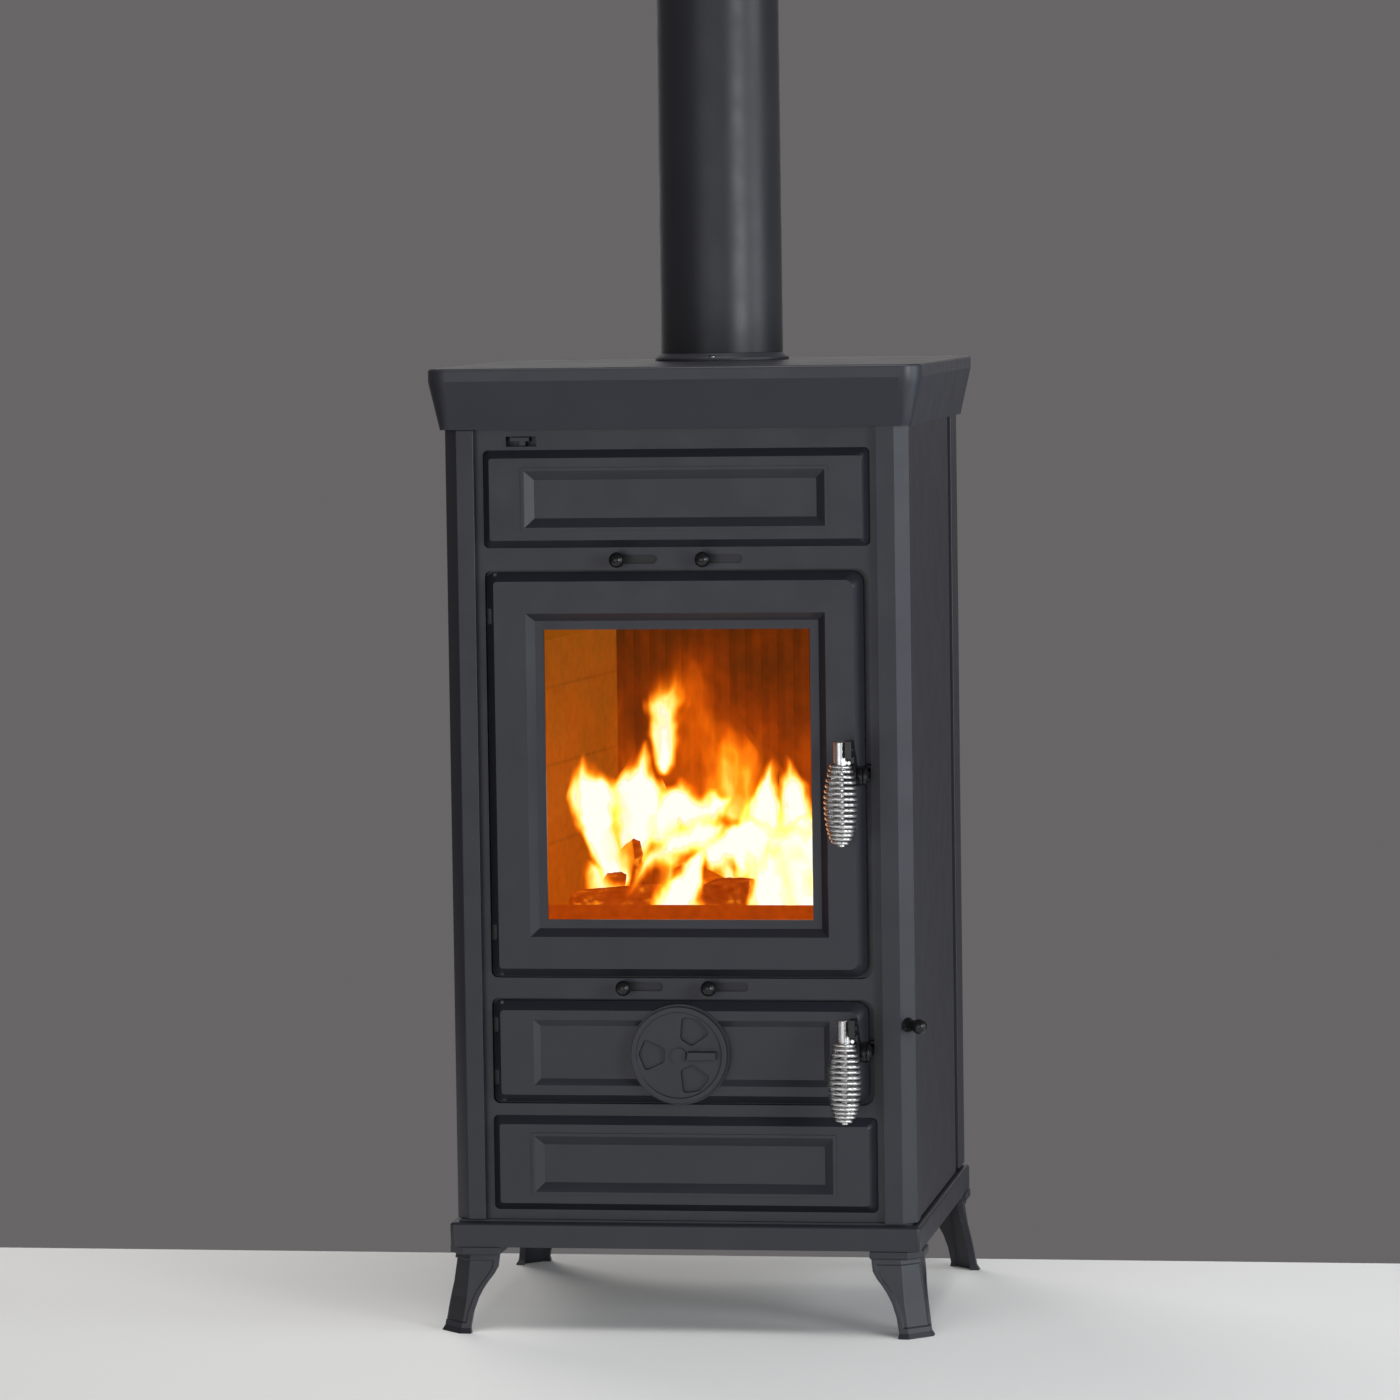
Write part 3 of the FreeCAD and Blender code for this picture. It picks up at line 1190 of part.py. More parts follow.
def handle_rod(z):
    head = bar_z(z + ROD_SHOULDER, z + LEVER_TOP, GRIP_X, GRIP_DEPTH, ROD_R)
    tip = [e for e in head.Edges if min(v.Z for v in e.Vertexes) > z + LEVER_TOP - 0.01]
    head = head.makeFillet(ROD_END_ROUND, tip)
    flat = box(LEVER_X0, LEVER_X0 + 2 * ROD_R, GRIP_DEPTH - ROD_R, GRIP_DEPTH + ROD_R,
               z + ROD_FLAT_FROM, z + LEVER_TOP)
    core = bar_z(z - ROD_DROP, z + ROD_SHOULDER, GRIP_X, GRIP_DEPTH, ROD_CORE_R)
    hole = bar_x(GRIP_X - ROD_R / 2 - 0.5, LEVER_X1, GRIP_DEPTH, z + ROD_PIN_Z, ROD_PIN_R + RUN_FIT)
    return fuse(head, core).cut([flat, hole])


def coil_turns():
    return COIL_FIRST_TURNS + COIL_OPEN_TURNS + COIL_LAST_TURNS


def coil_drop(turn):
    """How far the wire's centre has come down after so many turns."""
    tight = min(turn, COIL_FIRST_TURNS)
    loose = min(max(turn - COIL_FIRST_TURNS, 0.0), COIL_OPEN_TURNS)
    last = max(turn - COIL_FIRST_TURNS - COIL_OPEN_TURNS, 0.0)
    return (tight + last) * COIL_TIGHT_PITCH + loose * COIL_OPEN_PITCH


def coil_radius(turn):
    """Barrel shape: swells from the top to its peak, then draws in to the end."""
    share = coil_drop(turn) / coil_drop(coil_turns())
    if share < COIL_PEAK:
        swell = math.sin(math.pi / 2 * share / COIL_PEAK)
        return COIL_TOP_R + (COIL_MAX_R - COIL_TOP_R) * swell
    fall = math.cos(math.pi / 2 * (share - COIL_PEAK) / (1 - COIL_PEAK))
    return COIL_END_R + (COIL_MAX_R - COIL_END_R) * math.sqrt(max(fall, 0.0))


def coil_point(turn, z):
    angle = 2 * math.pi * turn
    r = coil_radius(turn)
    return at(GRIP_X + r * math.cos(angle), GRIP_DEPTH + r * math.sin(angle), z + COIL_TOP - coil_drop(turn))


def coil_direction(turn, z):
    step = 1e-3
    low = max(turn - step, 0.0)
    high = min(turn + step, float(coil_turns()))
    return (coil_point(high, z) - coil_point(low, z)).normalize()


def tangent_arc(start, along, end):
    """The arc that leaves start along a direction and ends at end."""
    chord = end - start
    sine = along - chord * (along.dot(chord) / chord.dot(chord))
    angle = along.getAngle(chord)
    lift = chord.Length / 2 * math.tan(angle / 2)
    return Part.Arc(start, start + chord * 0.5 + sine.normalize() * lift, end).toShape()


def biarc(p0, t0, p1, t1):
    """Two arcs that join two points and leave them in the given directions."""
    v = p1 - p0
    t = t0 + t1
    spread = 2 * (1 - t0.dot(t1))
    reach = (-v.dot(t) + math.sqrt(v.dot(t) ** 2 + spread * v.dot(v))) / spread
    joint = (p0 + p1 + (t0 - t1) * reach) * 0.5
    back = tangent_arc(p1, t1 * -1, joint)
    return [tangent_arc(p0, t0, joint), Part.Arc(joint, back.valueAt(
        (back.FirstParameter + back.LastParameter) / 2), p1).toShape()]


def coil_grip(z):
    """One unbroken wire wound as a barrel round the handle rod."""
    edges = []
    steps = coil_turns() * SEGMENTS_PER_TURN
    for k in range(steps):
        a = k / SEGMENTS_PER_TURN
        b = (k + 1) / SEGMENTS_PER_TURN
        edges += biarc(coil_point(a, z), coil_direction(a, z), coil_point(b, z), coil_direction(b, z))
    path = Part.Wire(edges)
    profile = Part.Wire(Part.makeCircle(WIRE_R, coil_point(0.0, z), coil_direction(0.0, z)))
    return Part.Solid(path.makePipeShell([profile], True, False))


def coil_gap():
    """Least gap of the wire to itself, measured on points of its centre line."""
    per_turn = 24
    points = [coil_point(k / per_turn, 0.0) for k in range(coil_turns() * per_turn + 1)]
    least = 1e9
    for i in range(len(points)):
        for j in range(i + per_turn // 2, len(points)):
            least = min(least, points[i].distanceToPoint(points[j]))
    return least - 2 * WIRE_R


# Air slides

def knob_x(slot_x):
    return slot_x - SLOT_L / 2 + NECK_R + NECK_GAP


def air_slide(slot_x, z):
    """A shutter with its stud, and the ball knob on the stud."""
    x = knob_x(slot_x)
    e0 = SHUTTER_FRONT
    left, right = shutter_ends(slot_x)
    plate = box(left, right, e0, SHUTTER_BACK, z - SHUTTER_H / 2, z + SHUTTER_H / 2)
    shutter = fuse(plate, bar_y(-STUD_IN, e0, x, z, STUD_R))
    ball = Part.makeSphere(KNOB_R, at(x, -KNOB_OUT, z))
    knob = fuse(ball, bar_y(-KNOB_OUT, e0, x, z, NECK_R)).cut(bar_y(-STUD_IN - 1, e0, x, z, STUD_R + RUN_FIT))
    return Part.makeCompound([shutter, knob])


def tee_plate():
    """X ends of the top air slide's plate."""
    x0 = TAB_SLOT_X0 + TEE_LEFT - TEE_TRAVEL - SHUTTER_LAP
    return x0, TAB_SLOT_X0 + TAB_SLOT_W + 2 * SHUTTER_LAP


def top_air_slide():
    """A shutter with a T-shaped finger tab that shows in its slot."""
    e0 = PLATE_BACK + SEAT_GAP
    x0, x1 = tee_plate()
    plate = box(x0, x1, e0, e0 + SHUTTER_T, TAB_SLOT_Z - SHUTTER_H / 2, TAB_SLOT_Z + SHUTTER_H / 2)
    left = TAB_SLOT_X0 + TEE_LEFT
    cross = box(left, left + TEE_W, TEE_SET_BACK, e0, TAB_SLOT_Z, TAB_SLOT_Z + TEE_H)
    middle = left + TEE_W * 0.65
    stem = box(middle - TEE_STEM / 2, middle + TEE_STEM / 2, TEE_SET_BACK, e0, TAB_SLOT_Z - TEE_H, TAB_SLOT_Z)
    return fuse(plate, cross, stem)


def tee_guide_ends():
    x0, x1 = tee_plate()
    return x0 - SEAT_GAP, x1 + TEE_TRAVEL + SEAT_GAP


def guide_bar(inner0, inner1, z):
    rail = SHUTTER_H / 2 + SEAT_GAP + GUIDE_RAIL
    return box(inner0 - GUIDE_END, inner1 + GUIDE_END, PLATE_BACK, PLATE_BACK + GUIDE_T, z - rail, z + rail)


def guide_cuts(z, ports, e0):
    cuts = [m6_hole(base, axis) for base, axis in guide_screw_seats()]
    for x in ports:
        cuts.append(rounded_slot(x - GUIDE_PORT / 2, x + GUIDE_PORT / 2, z, SLOT_H - 2 * GUIDE_RIB + 1.0,
                                 e0, PLATE_BACK + GUIDE_T))
    return cuts


def pair_guide(z):
    """A bar behind the plate whose two ribs hold a pair of shutters in their pocket."""
    inner0, inner1 = pair_guide_ends()
    half = SHUTTER_H / 2
    ribs = []
    for low in (z - half, z + half - GUIDE_RIB):
        ribs.append(box(inner0 + SEAT_GAP, inner1 - SEAT_GAP, SHUTTER_BACK + SEAT_GAP, PLATE_BACK, low, low + GUIDE_RIB))
    return fuse(guide_bar(inner0, inner1, z), *ribs).cut(guide_cuts(z, SLOT_X, PLATE_BACK))


def tee_guide():
    """A channel behind the plate that the top air slide runs in."""
    inner0, inner1 = tee_guide_ends()
    half = SHUTTER_H / 2 + SEAT_GAP
    back = PLATE_BACK + GUIDE_T - GUIDE_BACK
    run = box(inner0, inner1, PLATE_BACK, back, TAB_SLOT_Z - half, TAB_SLOT_Z + half)
    ports = [TAB_SLOT_X0 + TAB_SLOT_W / 2]
    return guide_bar(inner0, inner1, TAB_SLOT_Z).cut([run] + guide_cuts(TAB_SLOT_Z, ports, back))


def shutter_guides():
    return Part.makeCompound([pair_guide(LOWER_SLOT_Z), pair_guide(UPPER_SLOT_Z), tee_guide()])


def all_nodes():
    nodes = {
        "plinth": plinth(),
        "foot_bolts": foot_bolts(),
        "front_plate": front_plate(),
        "front_post_left": front_post_left(),
        "front_post_right": front_post_right(),
        "rear_post_left": mirrored(rear_post()),
        "rear_post_right": rear_post(),
        "side_panel_left": mirrored(side_panel()),
        "side_panel_right": side_panel(),
        "back_panel": back_panel(),
        "top_plate": top_plate(),
        "tie_bolts": tie_bolts(),
        "flue_collar": flue_collar(),
        "flue_pipe": flue_pipe(),
        "upper_panel": upper_panel(),
        "lower_panel": lower_panel(),
        "m6_screws": m6_screws(),
        "firebox_wall_left": firebox_wall_left(),
        "firebox_wall_right": firebox_wall_right(),
        "firebox_floor": firebox_floor(),
        "ash_floor": ash_floor(),
        "liner_left": mirrored(liner()),
        "liner_right": liner(),
        "rear_liner": rear_liner(),
        "baffle": baffle(),
        "log_guard": log_guard(),
        "ash_pan": ash_pan(),
        "grate": grate(),
        "riddling_rod": riddling_rod(),
        "riddling_knob": riddling_knob(),
        "hinge_pins": hinge_pins(),
        "latch_keepers": latch_keepers(),
        "fire_door": fire_door(),
        "fire_door_seal": fire_door_seal(),
        "door_glass": door_glass(),
        "glass_gasket": glass_gasket(),
        "glass_clips": glass_clips(),
        "clip_screws": clip_screws(),
        "ash_door": ash_door(),
        "ash_door_seal": ash_door_seal(),
        "air_spinner": air_spinner(),
        "spinner_bolt": spinner_bolt(),
        "shutter_guides": shutter_guides(),
        "top_air_slide": top_air_slide(),
    }
    for corner, signs in foot_corners().items():
        nodes["foot_" + corner] = foot(signs)
    for level, z in (("lower", LOWER_SLOT_Z), ("upper", UPPER_SLOT_Z)):
        for side, x in zip(("left", "right"), SLOT_X):
            nodes["air_slide_" + level + "_" + side] = air_slide(x, z)
    for door, z in (("fire", FIRE_LATCH_Z), ("ash", ASH_LATCH_Z)):
        nodes[door + "_latch_lever"] = latch_lever(z)
        nodes[door + "_latch_hook"] = latch_hook(z)
        nodes[door + "_handle_rod"] = handle_rod(z)
        nodes[door + "_handle_coil"] = coil_grip(z)
    return nodes


def main():
    os.makedirs("parts", exist_ok=True)
    gap = coil_gap()
    print("coil grip: %d turns, least gap to itself %.2f mm" % (coil_turns(), gap))
    if gap < COIL_MIN_GAP:
        raise ValueError("the coil's turns are closer than %.1f mm" % COIL_MIN_GAP)
    for name, shape in all_nodes().items():
        shape.exportStep("parts/" + name + ".step")
        print(name, len(shape.Solids), "valid" if shape.isValid() else "NOT VALID")


main()
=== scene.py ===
# %% [markdown]
# # A cast iron wood stove with a lit fire
# The exact model is loaded first, as a fixed frame in metres: every casting, hinge, latch and screw
# already has its size and place. This lesson gives those parts their finish, softens the casting edges,
# winds the wire grips, braids the door seals and lays a fire behind the glass.

# %% The frame
import bmesh
import bpy
import json
import math
import random
from mathutils import Matrix, Vector


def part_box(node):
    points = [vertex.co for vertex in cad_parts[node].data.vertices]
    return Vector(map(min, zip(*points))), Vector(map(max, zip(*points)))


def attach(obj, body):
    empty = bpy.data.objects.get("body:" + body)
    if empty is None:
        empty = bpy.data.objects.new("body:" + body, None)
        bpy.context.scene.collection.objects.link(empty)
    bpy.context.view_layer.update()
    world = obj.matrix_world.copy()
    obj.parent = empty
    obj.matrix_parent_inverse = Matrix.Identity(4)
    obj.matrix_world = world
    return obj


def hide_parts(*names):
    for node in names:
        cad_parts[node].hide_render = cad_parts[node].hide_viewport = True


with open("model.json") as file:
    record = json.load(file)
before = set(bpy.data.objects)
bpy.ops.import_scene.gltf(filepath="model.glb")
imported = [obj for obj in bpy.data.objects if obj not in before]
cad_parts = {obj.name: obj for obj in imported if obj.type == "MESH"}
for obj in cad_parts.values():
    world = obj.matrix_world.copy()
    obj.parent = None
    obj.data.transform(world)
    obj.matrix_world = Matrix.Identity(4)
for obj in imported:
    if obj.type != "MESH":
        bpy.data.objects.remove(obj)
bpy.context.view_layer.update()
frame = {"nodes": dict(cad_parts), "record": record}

SCENE = bpy.context.scene
SCENE.view_settings.view_transform = "Standard"
BODY_OF = {node: body for body, nodes in frame["record"]["behaviour"]["bodies"].items() for node in nodes}
MM = 0.001
FACE_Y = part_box("upper_panel")[1][1]


def spot(x, depth, z):
    """A point in millimetres: X, depth behind the front plate's face, height."""
    return Vector((x * MM, FACE_Y + depth * MM, z * MM))


print("front face at y", round(FACE_Y, 4))

# %% [markdown]
# ## The camera
# A long lens stands to the right of the stove, a little over its top, and is turned about nine degrees
# back towards it, so it shows the front and a narrow strip of the right side. The angles are kept as yaw,
# pitch and roll, because a camera that looks at one point with "track to" can't lean sideways as this one
# does.

# %% Camera
CAMERA_PLACE = Vector((0.9303, FACE_Y - 5.7038, 1.0154))
CAMERA_YAW, CAMERA_PITCH, CAMERA_ROLL = 0.1582, 0.0722, -0.01427
CAMERA_LENS = 159.1


def make_camera():
    data = bpy.data.cameras.new("camera")
    data.lens = CAMERA_LENS
    data.sensor_width = 36.0
    data.clip_end = 50.0
    camera = bpy.data.objects.new("camera", data)
    turn = Matrix.Rotation(CAMERA_YAW, 4, "Z") @ Matrix.Rotation(math.pi / 2 - CAMERA_PITCH, 4, "X")
    camera.matrix_world = Matrix.Translation(CAMERA_PLACE) @ turn @ Matrix.Rotation(CAMERA_ROLL, 4, "Z")
    SCENE.collection.objects.link(camera)
    SCENE.camera = camera
    return camera


print("camera at", tuple(make_camera().location))

# %% [markdown]
# ## Room and light
# The stove stands on a pale floor that ends where a wall would be, and the camera sees a plain grey
# behind it. Two big soft boxes and a smaller key lamp between them do the work: the flat faces mirror the
# box in front, and the right-facing bevels mirror the one on the right. Nothing bright hangs above the
# stove or on its left, so bevels that look that way go dark and the panels read as deep. A lamp behind,
# which no surface mirrors, lights the back, a wide and weak one gives the top plate its pale sheen, and a
# lamp overhead is light-linked to the floor, the top plate and the flue collar alone. The room itself is
# dim; camera, mirror and glass rays all see the same wall grey.

# %% Floor, world and lamps
FLOOR_BACK = 0.27
FLOOR_FRONT = -1.3
FLOOR_HALF = 1.3
FLOOR_SEEN = (0.80, 0.80, 0.79, 1)
FLOOR_BOUNCE = (0.22, 0.22, 0.22, 1)
FLOOR_LIFT = 0.05
WALL_GREY = (0.137, 0.131, 0.133, 1)
ROOM_DIM = (0.11, 0.11, 0.12, 1)


def seen_factor(tree):
    """1 for rays from the camera, mirrors and glass, 0 for light that bounces."""
    path = tree.nodes.new("ShaderNodeLightPath")
    total = path.outputs["Is Camera Ray"]
    for other in ("Is Glossy Ray", "Is Transmission Ray"):
        add = tree.nodes.new("ShaderNodeMath")
        add.operation = "MAXIMUM"
        tree.links.new(total, add.inputs[0])
        tree.links.new(path.outputs[other], add.inputs[1])
        total = add.outputs[0]
    return total


def make_floor():
    mesh = bpy.data.meshes.new("floor")
    corners = [(-FLOOR_HALF, FLOOR_FRONT, 0), (FLOOR_HALF, FLOOR_FRONT, 0),
               (FLOOR_HALF, FLOOR_BACK, 0), (-FLOOR_HALF, FLOOR_BACK, 0)]
    mesh.from_pydata(corners, [], [(0, 1, 2, 3)])
    floor = bpy.data.objects.new("floor", mesh)
    SCENE.collection.objects.link(floor)
    material = bpy.data.materials.new("pale_floor")
    material.use_nodes = True
    tree = material.node_tree
    shader = tree.nodes["Principled BSDF"]
    shader.inputs["Roughness"].default_value = 0.9
    shader.inputs["Specular IOR Level"].default_value = 0
    shader.inputs["Emission Color"].default_value = (1, 1, 1, 1)
    mix = tree.nodes.new("ShaderNodeMix")
    mix.data_type = "RGBA"
    mix.inputs["A"].default_value, mix.inputs["B"].default_value = FLOOR_BOUNCE, FLOOR_SEEN
    lift = tree.nodes.new("ShaderNodeMath")
    lift.operation = "MULTIPLY"
    lift.inputs[1].default_value = FLOOR_LIFT
    seen = seen_factor(tree)
    tree.links.new(seen, mix.inputs["Factor"])
    tree.links.new(seen, lift.inputs[0])
    tree.links.new(mix.outputs["Result"], shader.inputs["Base Color"])
    tree.links.new(lift.outputs[0], shader.inputs["Emission Strength"])
    mesh.materials.append(material)
    return floor


def make_world():
    world = bpy.data.worlds.new("room")
    SCENE.world = world
    world.use_nodes = True
    tree = world.node_tree
    nodes, links = tree.nodes, tree.links
    nodes.clear()
    light, wall = nodes.new("ShaderNodeBackground"), nodes.new("ShaderNodeBackground")
    wall.inputs["Color"].default_value = WALL_GREY
    light.inputs["Color"].default_value = ROOM_DIM
    mix = nodes.new("ShaderNodeMixShader")
    output = nodes.new("ShaderNodeOutputWorld")
    links.new(seen_factor(tree), mix.inputs[0])
    links.new(light.outputs[0], mix.inputs[1])
    links.new(wall.outputs[0], mix.inputs[2])
    links.new(mix.outputs[0], output.inputs["Surface"])


def make_lamp(name, place, target, size, watts, colour):
    data = bpy.data.lights.new(name, "AREA")
    data.shape = "RECTANGLE"
    data.size, data.size_y = size
    data.energy, data.color = watts, colour
    lamp = bpy.data.objects.new(name, data)
    lamp.location = place
    lamp.rotation_mode = "QUATERNION"
    lamp.rotation_quaternion = (Vector(target) - Vector(place)).to_track_quat("-Z", "Y")
    lamp.visible_camera = lamp.visible_transmission = False
    SCENE.collection.objects.link(lamp)
    return lamp


floor = make_floor()
make_world()
MIDDLE = (0, 0, 0.5)
make_lamp("lamp_front", (-0.5, -3.6, 0.6), MIDDLE, (3.0, 1.5), 23, (0.95, 0.96, 1.0))
make_lamp("lamp_key", (2.3, -2.2, 0.9), MIDDLE, (1.0, 1.0), 34, (0.94, 0.97, 1.0))
make_lamp("lamp_right", (3.0, -0.45, 0.85), MIDDLE, (1.3, 2.0), 25, (0.86, 0.94, 1.0))
behind = make_lamp("lamp_back", (-2.0, 3.0, 1.3), MIDDLE, (2.1, 1.8), 95, (1.0, 0.97, 0.93))
behind.visible_glossy = False
make_lamp("lamp_sheen", (-1.0, 4.0, 1.7), MIDDLE, (4.0, 2.0), 12, (1.0, 0.97, 0.93))
overhead = make_lamp("lamp_floor", (0.3, -1.1, 3.4), (0, -0.6, 0), (1.6, 1.6), 44, (1.0, 0.99, 0.97))
FROM_ABOVE = bpy.data.collections.new("lit_from_above")
FROM_ABOVE.objects.link(floor)
overhead.light_linking.receiver_collection = FROM_ABOVE

# %% [markdown]
# ## Finishes
# Every finish is a small node tree on Object coordinates, in metres, so that a grain has a real size.
# Cast iron under stove paint is a dark satin blue-grey with the fine pimples of the sand mould, and its
# sheen wanders a little. Plain values go straight on the shader; only what varies over the surface goes
# through nodes.

# %% Node helpers
PIECE_COUNT = {}


def new_material(name):
    material = bpy.data.materials.new(name)
    material.use_nodes = True
    return material, material.node_tree, material.node_tree.nodes["Principled BSDF"]


def object_place(tree, stretch=None):
    coordinates = tree.nodes.new("ShaderNodeTexCoord").outputs["Object"]
    if stretch is None:
        return coordinates
    mapping = tree.nodes.new("ShaderNodeMapping")
    mapping.inputs["Scale"].default_value = stretch
    tree.links.new(coordinates, mapping.inputs["Vector"])
    return mapping.outputs["Vector"]


def noise(tree, scale, detail=3.0, stretch=None):
    texture = tree.nodes.new("ShaderNodeTexNoise")
    texture.inputs["Scale"].default_value = scale
    texture.inputs["Detail"].default_value = detail
    tree.links.new(object_place(tree, stretch), texture.inputs["Vector"])
    return texture.outputs["Fac"]


def ramp(tree, factor, stops):
    node = tree.nodes.new("ShaderNodeValToRGB")
    elements = node.color_ramp.elements
    while len(elements) < len(stops):
        elements.new(0.5)
    for element, (place, colour) in zip(elements, stops):
        element.position = place
        element.color = colour if len(colour) == 4 else (*colour, 1)
    tree.links.new(factor, node.inputs["Fac"])
    return node.outputs["Color"]


def spread(tree, factor, low, high, start=0.3, end=0.7):
    node = tree.nodes.new("ShaderNodeMapRange")
    node.inputs["From Min"].default_value, node.inputs["From Max"].default_value = start, end
    node.inputs["To Min"].default_value, node.inputs["To Max"].default_value = low, high
    tree.links.new(factor, node.inputs["Value"])
    return node.outputs["Result"]


def bump(tree, shader, height, strength, depth):
    node = tree.nodes.new("ShaderNodeBump")
    node.inputs["Strength"].default_value = strength
    node.inputs["Distance"].default_value = depth
    tree.links.new(height, node.inputs["Height"])
    tree.links.new(node.outputs["Normal"], shader.inputs["Normal"])


def math_node(tree, operation, *values):
    node = tree.nodes.new("ShaderNodeMath")
    node.operation = operation
    for k, value in enumerate(values):
        if isinstance(value, (int, float)):
            node.inputs[k].default_value = value
        else:
            tree.links.new(value, node.inputs[k])
    return node.outputs[0]


# %% Cast iron, steel, rope and glass
def cast_finish(name, dark, light, rough, grain, depth):
    """Painted or bare castings: two close shades, a wandering sheen and a mould grain."""
    material, tree, shader = new_material(name)
    colour = ramp(tree, noise(tree, 14.0), [(0.35, dark), (0.65, light)])
    tree.links.new(colour, shader.inputs["Base Color"])
    tree.links.new(spread(tree, noise(tree, 30.0), *rough), shader.inputs["Roughness"])
    bump(tree, shader, noise(tree, grain, 2.0), 0.5, depth)
    return material


def metal_finish(name, colour, rough, stretch):
    material, tree, shader = new_material(name)
    shader.inputs["Metallic"].default_value = 1.0
    shades = [(0.3, tuple(0.82 * c for c in colour)), (0.7, colour)]
    tree.links.new(ramp(tree, noise(tree, 120.0, 2.0, stretch), shades), shader.inputs["Base Color"])
    tree.links.new(spread(tree, noise(tree, 260.0, 2.0, stretch), *rough), shader.inputs["Roughness"])
    return material


def rope_finish():
    material, tree, shader = new_material("seal_rope")
    colour = ramp(tree, noise(tree, 900.0), [(0.3, (0.10, 0.095, 0.09)), (0.7, (0.24, 0.23, 0.215))])
    tree.links.new(colour, shader.inputs["Base Color"])
    shader.inputs["Roughness"].default_value = 0.9
    bump(tree, shader, noise(tree, 1600.0, 2.0), 0.6, 0.0003)
    return material


def glass_finish():
    material, tree, shader = new_material("fire_glass")
    shader.inputs["Base Color"].default_value = (1.0, 0.97, 0.92, 1)
    shader.inputs["Transmission Weight"].default_value = 1.0
    shader.inputs["IOR"].default_value = 1.06
    tree.links.new(spread(tree, noise(tree, 9.0), 0.0, 0.02), shader.inputs["Roughness"])
    return material


STOVE_PAINT = cast_finish("stove_paint", (0.029, 0.030, 0.040), (0.032, 0.033, 0.043),
                          (0.39, 0.45), 1100.0, 0.00004)
PIPE_PAINT = cast_finish("pipe_paint", (0.031, 0.032, 0.038), (0.036, 0.037, 0.043),
                         (0.36, 0.44), 2400.0, 0.00005)
# Darker paint for the shutters inside the air slots: painted shade in the slots.
SLOT_SHADE_PAINT = cast_finish("shutter_painted_shade", (0.012, 0.012, 0.016), (0.016, 0.016, 0.021),
                            (0.40, 0.50), 1100.0, 0.00004)
KNOB_PAINT = cast_finish("knob_paint", (0.006, 0.006, 0.007), (0.010, 0.010, 0.011),
                         (0.24, 0.32), 1800.0, 0.00005)
SOOTED_IRON = cast_finish("sooted_iron", (0.030, 0.024, 0.020), (0.075, 0.058, 0.045),
                          (0.6, 0.85), 700.0, 0.0004)
PAN_STEEL = cast_finish("pan_steel", (0.085, 0.085, 0.09), (0.12, 0.12, 0.12),
                        (0.45, 0.6), 900.0, 0.00008)
PLAIN_STEEL = metal_finish("plain_steel", (0.42, 0.42, 0.43), (0.32, 0.45), (1, 1, 6))
BRIGHT_STEEL = metal_finish("bright_steel", (0.80, 0.79, 0.78), (0.24, 0.34), (1, 1, 1))
SEAL_ROPE = rope_finish()
FIRE_GLASS = glass_finish()
print("finishes:", [m.name for m in bpy.data.materials if m.use_nodes])

# %% [markdown]
# ## Firelit lining
# The firelight on the bricks and the ribbed back plate is painted on: a dim orange that is strongest low
# down, near the flames. This painted firelight is an emission that fades with height, on top of the
# brick's own colour, so it shows in any light; the grooves of the back plate get less of it, as painted
# shade.

# %% Lining finishes
JOINT_FIRELIGHT, GROOVE_SHADE = 0.78, 0.80


def painted_firelight_finish(name, base, low_firelight, high_firelight, heights, course=0.0, groove=None):
    """A rough lining with painted firelight: an emission from the low to the high colour between two heights.

    Its joints, one every course metres, are darker, and what lies deeper than the groove's first depth gets
    painted shade: less of the painted firelight.
    """
    material, tree, shader = new_material(name)
    shades = [(0.3, tuple(0.7 * c for c in base)), (0.7, base)]
    tree.links.new(ramp(tree, noise(tree, 40.0), shades), shader.inputs["Base Color"])
    shader.inputs["Roughness"].default_value = 0.9
    shader.inputs["Specular IOR Level"].default_value = 0.0
    split = tree.nodes.new("ShaderNodeSeparateXYZ")
    tree.links.new(object_place(tree), split.inputs[0])
    # Painted firelight: the emission colour moves from the low to the high colour with height, with a little
    # noise.
    height = math_node(tree, "ADD", spread(tree, split.outputs["Z"], 0.0, 1.0, *heights),
                       spread(tree, noise(tree, 22.0), -0.2, 0.2))
    tree.links.new(ramp(tree, height, [(0.0, low_firelight), (1.0, high_firelight)]), shader.inputs["Emission Color"])
    strength = spread(tree, noise(tree, 120.0), 0.8, 1.1)
    if course > 0:
        part = math_node(tree, "FRACT", math_node(tree, "DIVIDE", split.outputs["Z"], course))
        joint = math_node(tree, "GREATER_THAN", part, 0.04)
        strength = math_node(tree, "MULTIPLY", strength, spread(tree, joint, JOINT_FIRELIGHT, 1.0, 0.0, 1.0))
    if groove is not None:
        # Painted shade: the painted firelight is dimmer in the grooves between the back plate's ribs.
        groove_shade = spread(tree, split.outputs["Y"], 1.0, GROOVE_SHADE, *groove)
        strength = math_node(tree, "MULTIPLY", strength, groove_shade)
    tree.links.new(strength, shader.inputs["Emission Strength"])
    bump(tree, shader, noise(tree, 420.0, 2.0), 0.5, 0.0006)
    return material


RIB_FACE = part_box("rear_liner")[0][1]
# The side bricks and the ribbed back plate carry painted firelight, brightest low down near the flames.
SIDE_LINING = painted_firelight_finish("side_lining", (0.07, 0.035, 0.014), (0.40, 0.070, 0.001), (0.26, 0.068, 0.003),
                         (0.40, 0.66), course=0.075)
BACK_LINING = painted_firelight_finish("back_lining", (0.04, 0.016, 0.005), (0.36, 0.044, 0.001), (0.08, 0.018, 0.001),
                         (0.40, 0.68), groove=(RIB_FACE + 0.5 * MM, RIB_FACE + 3.5 * MM))
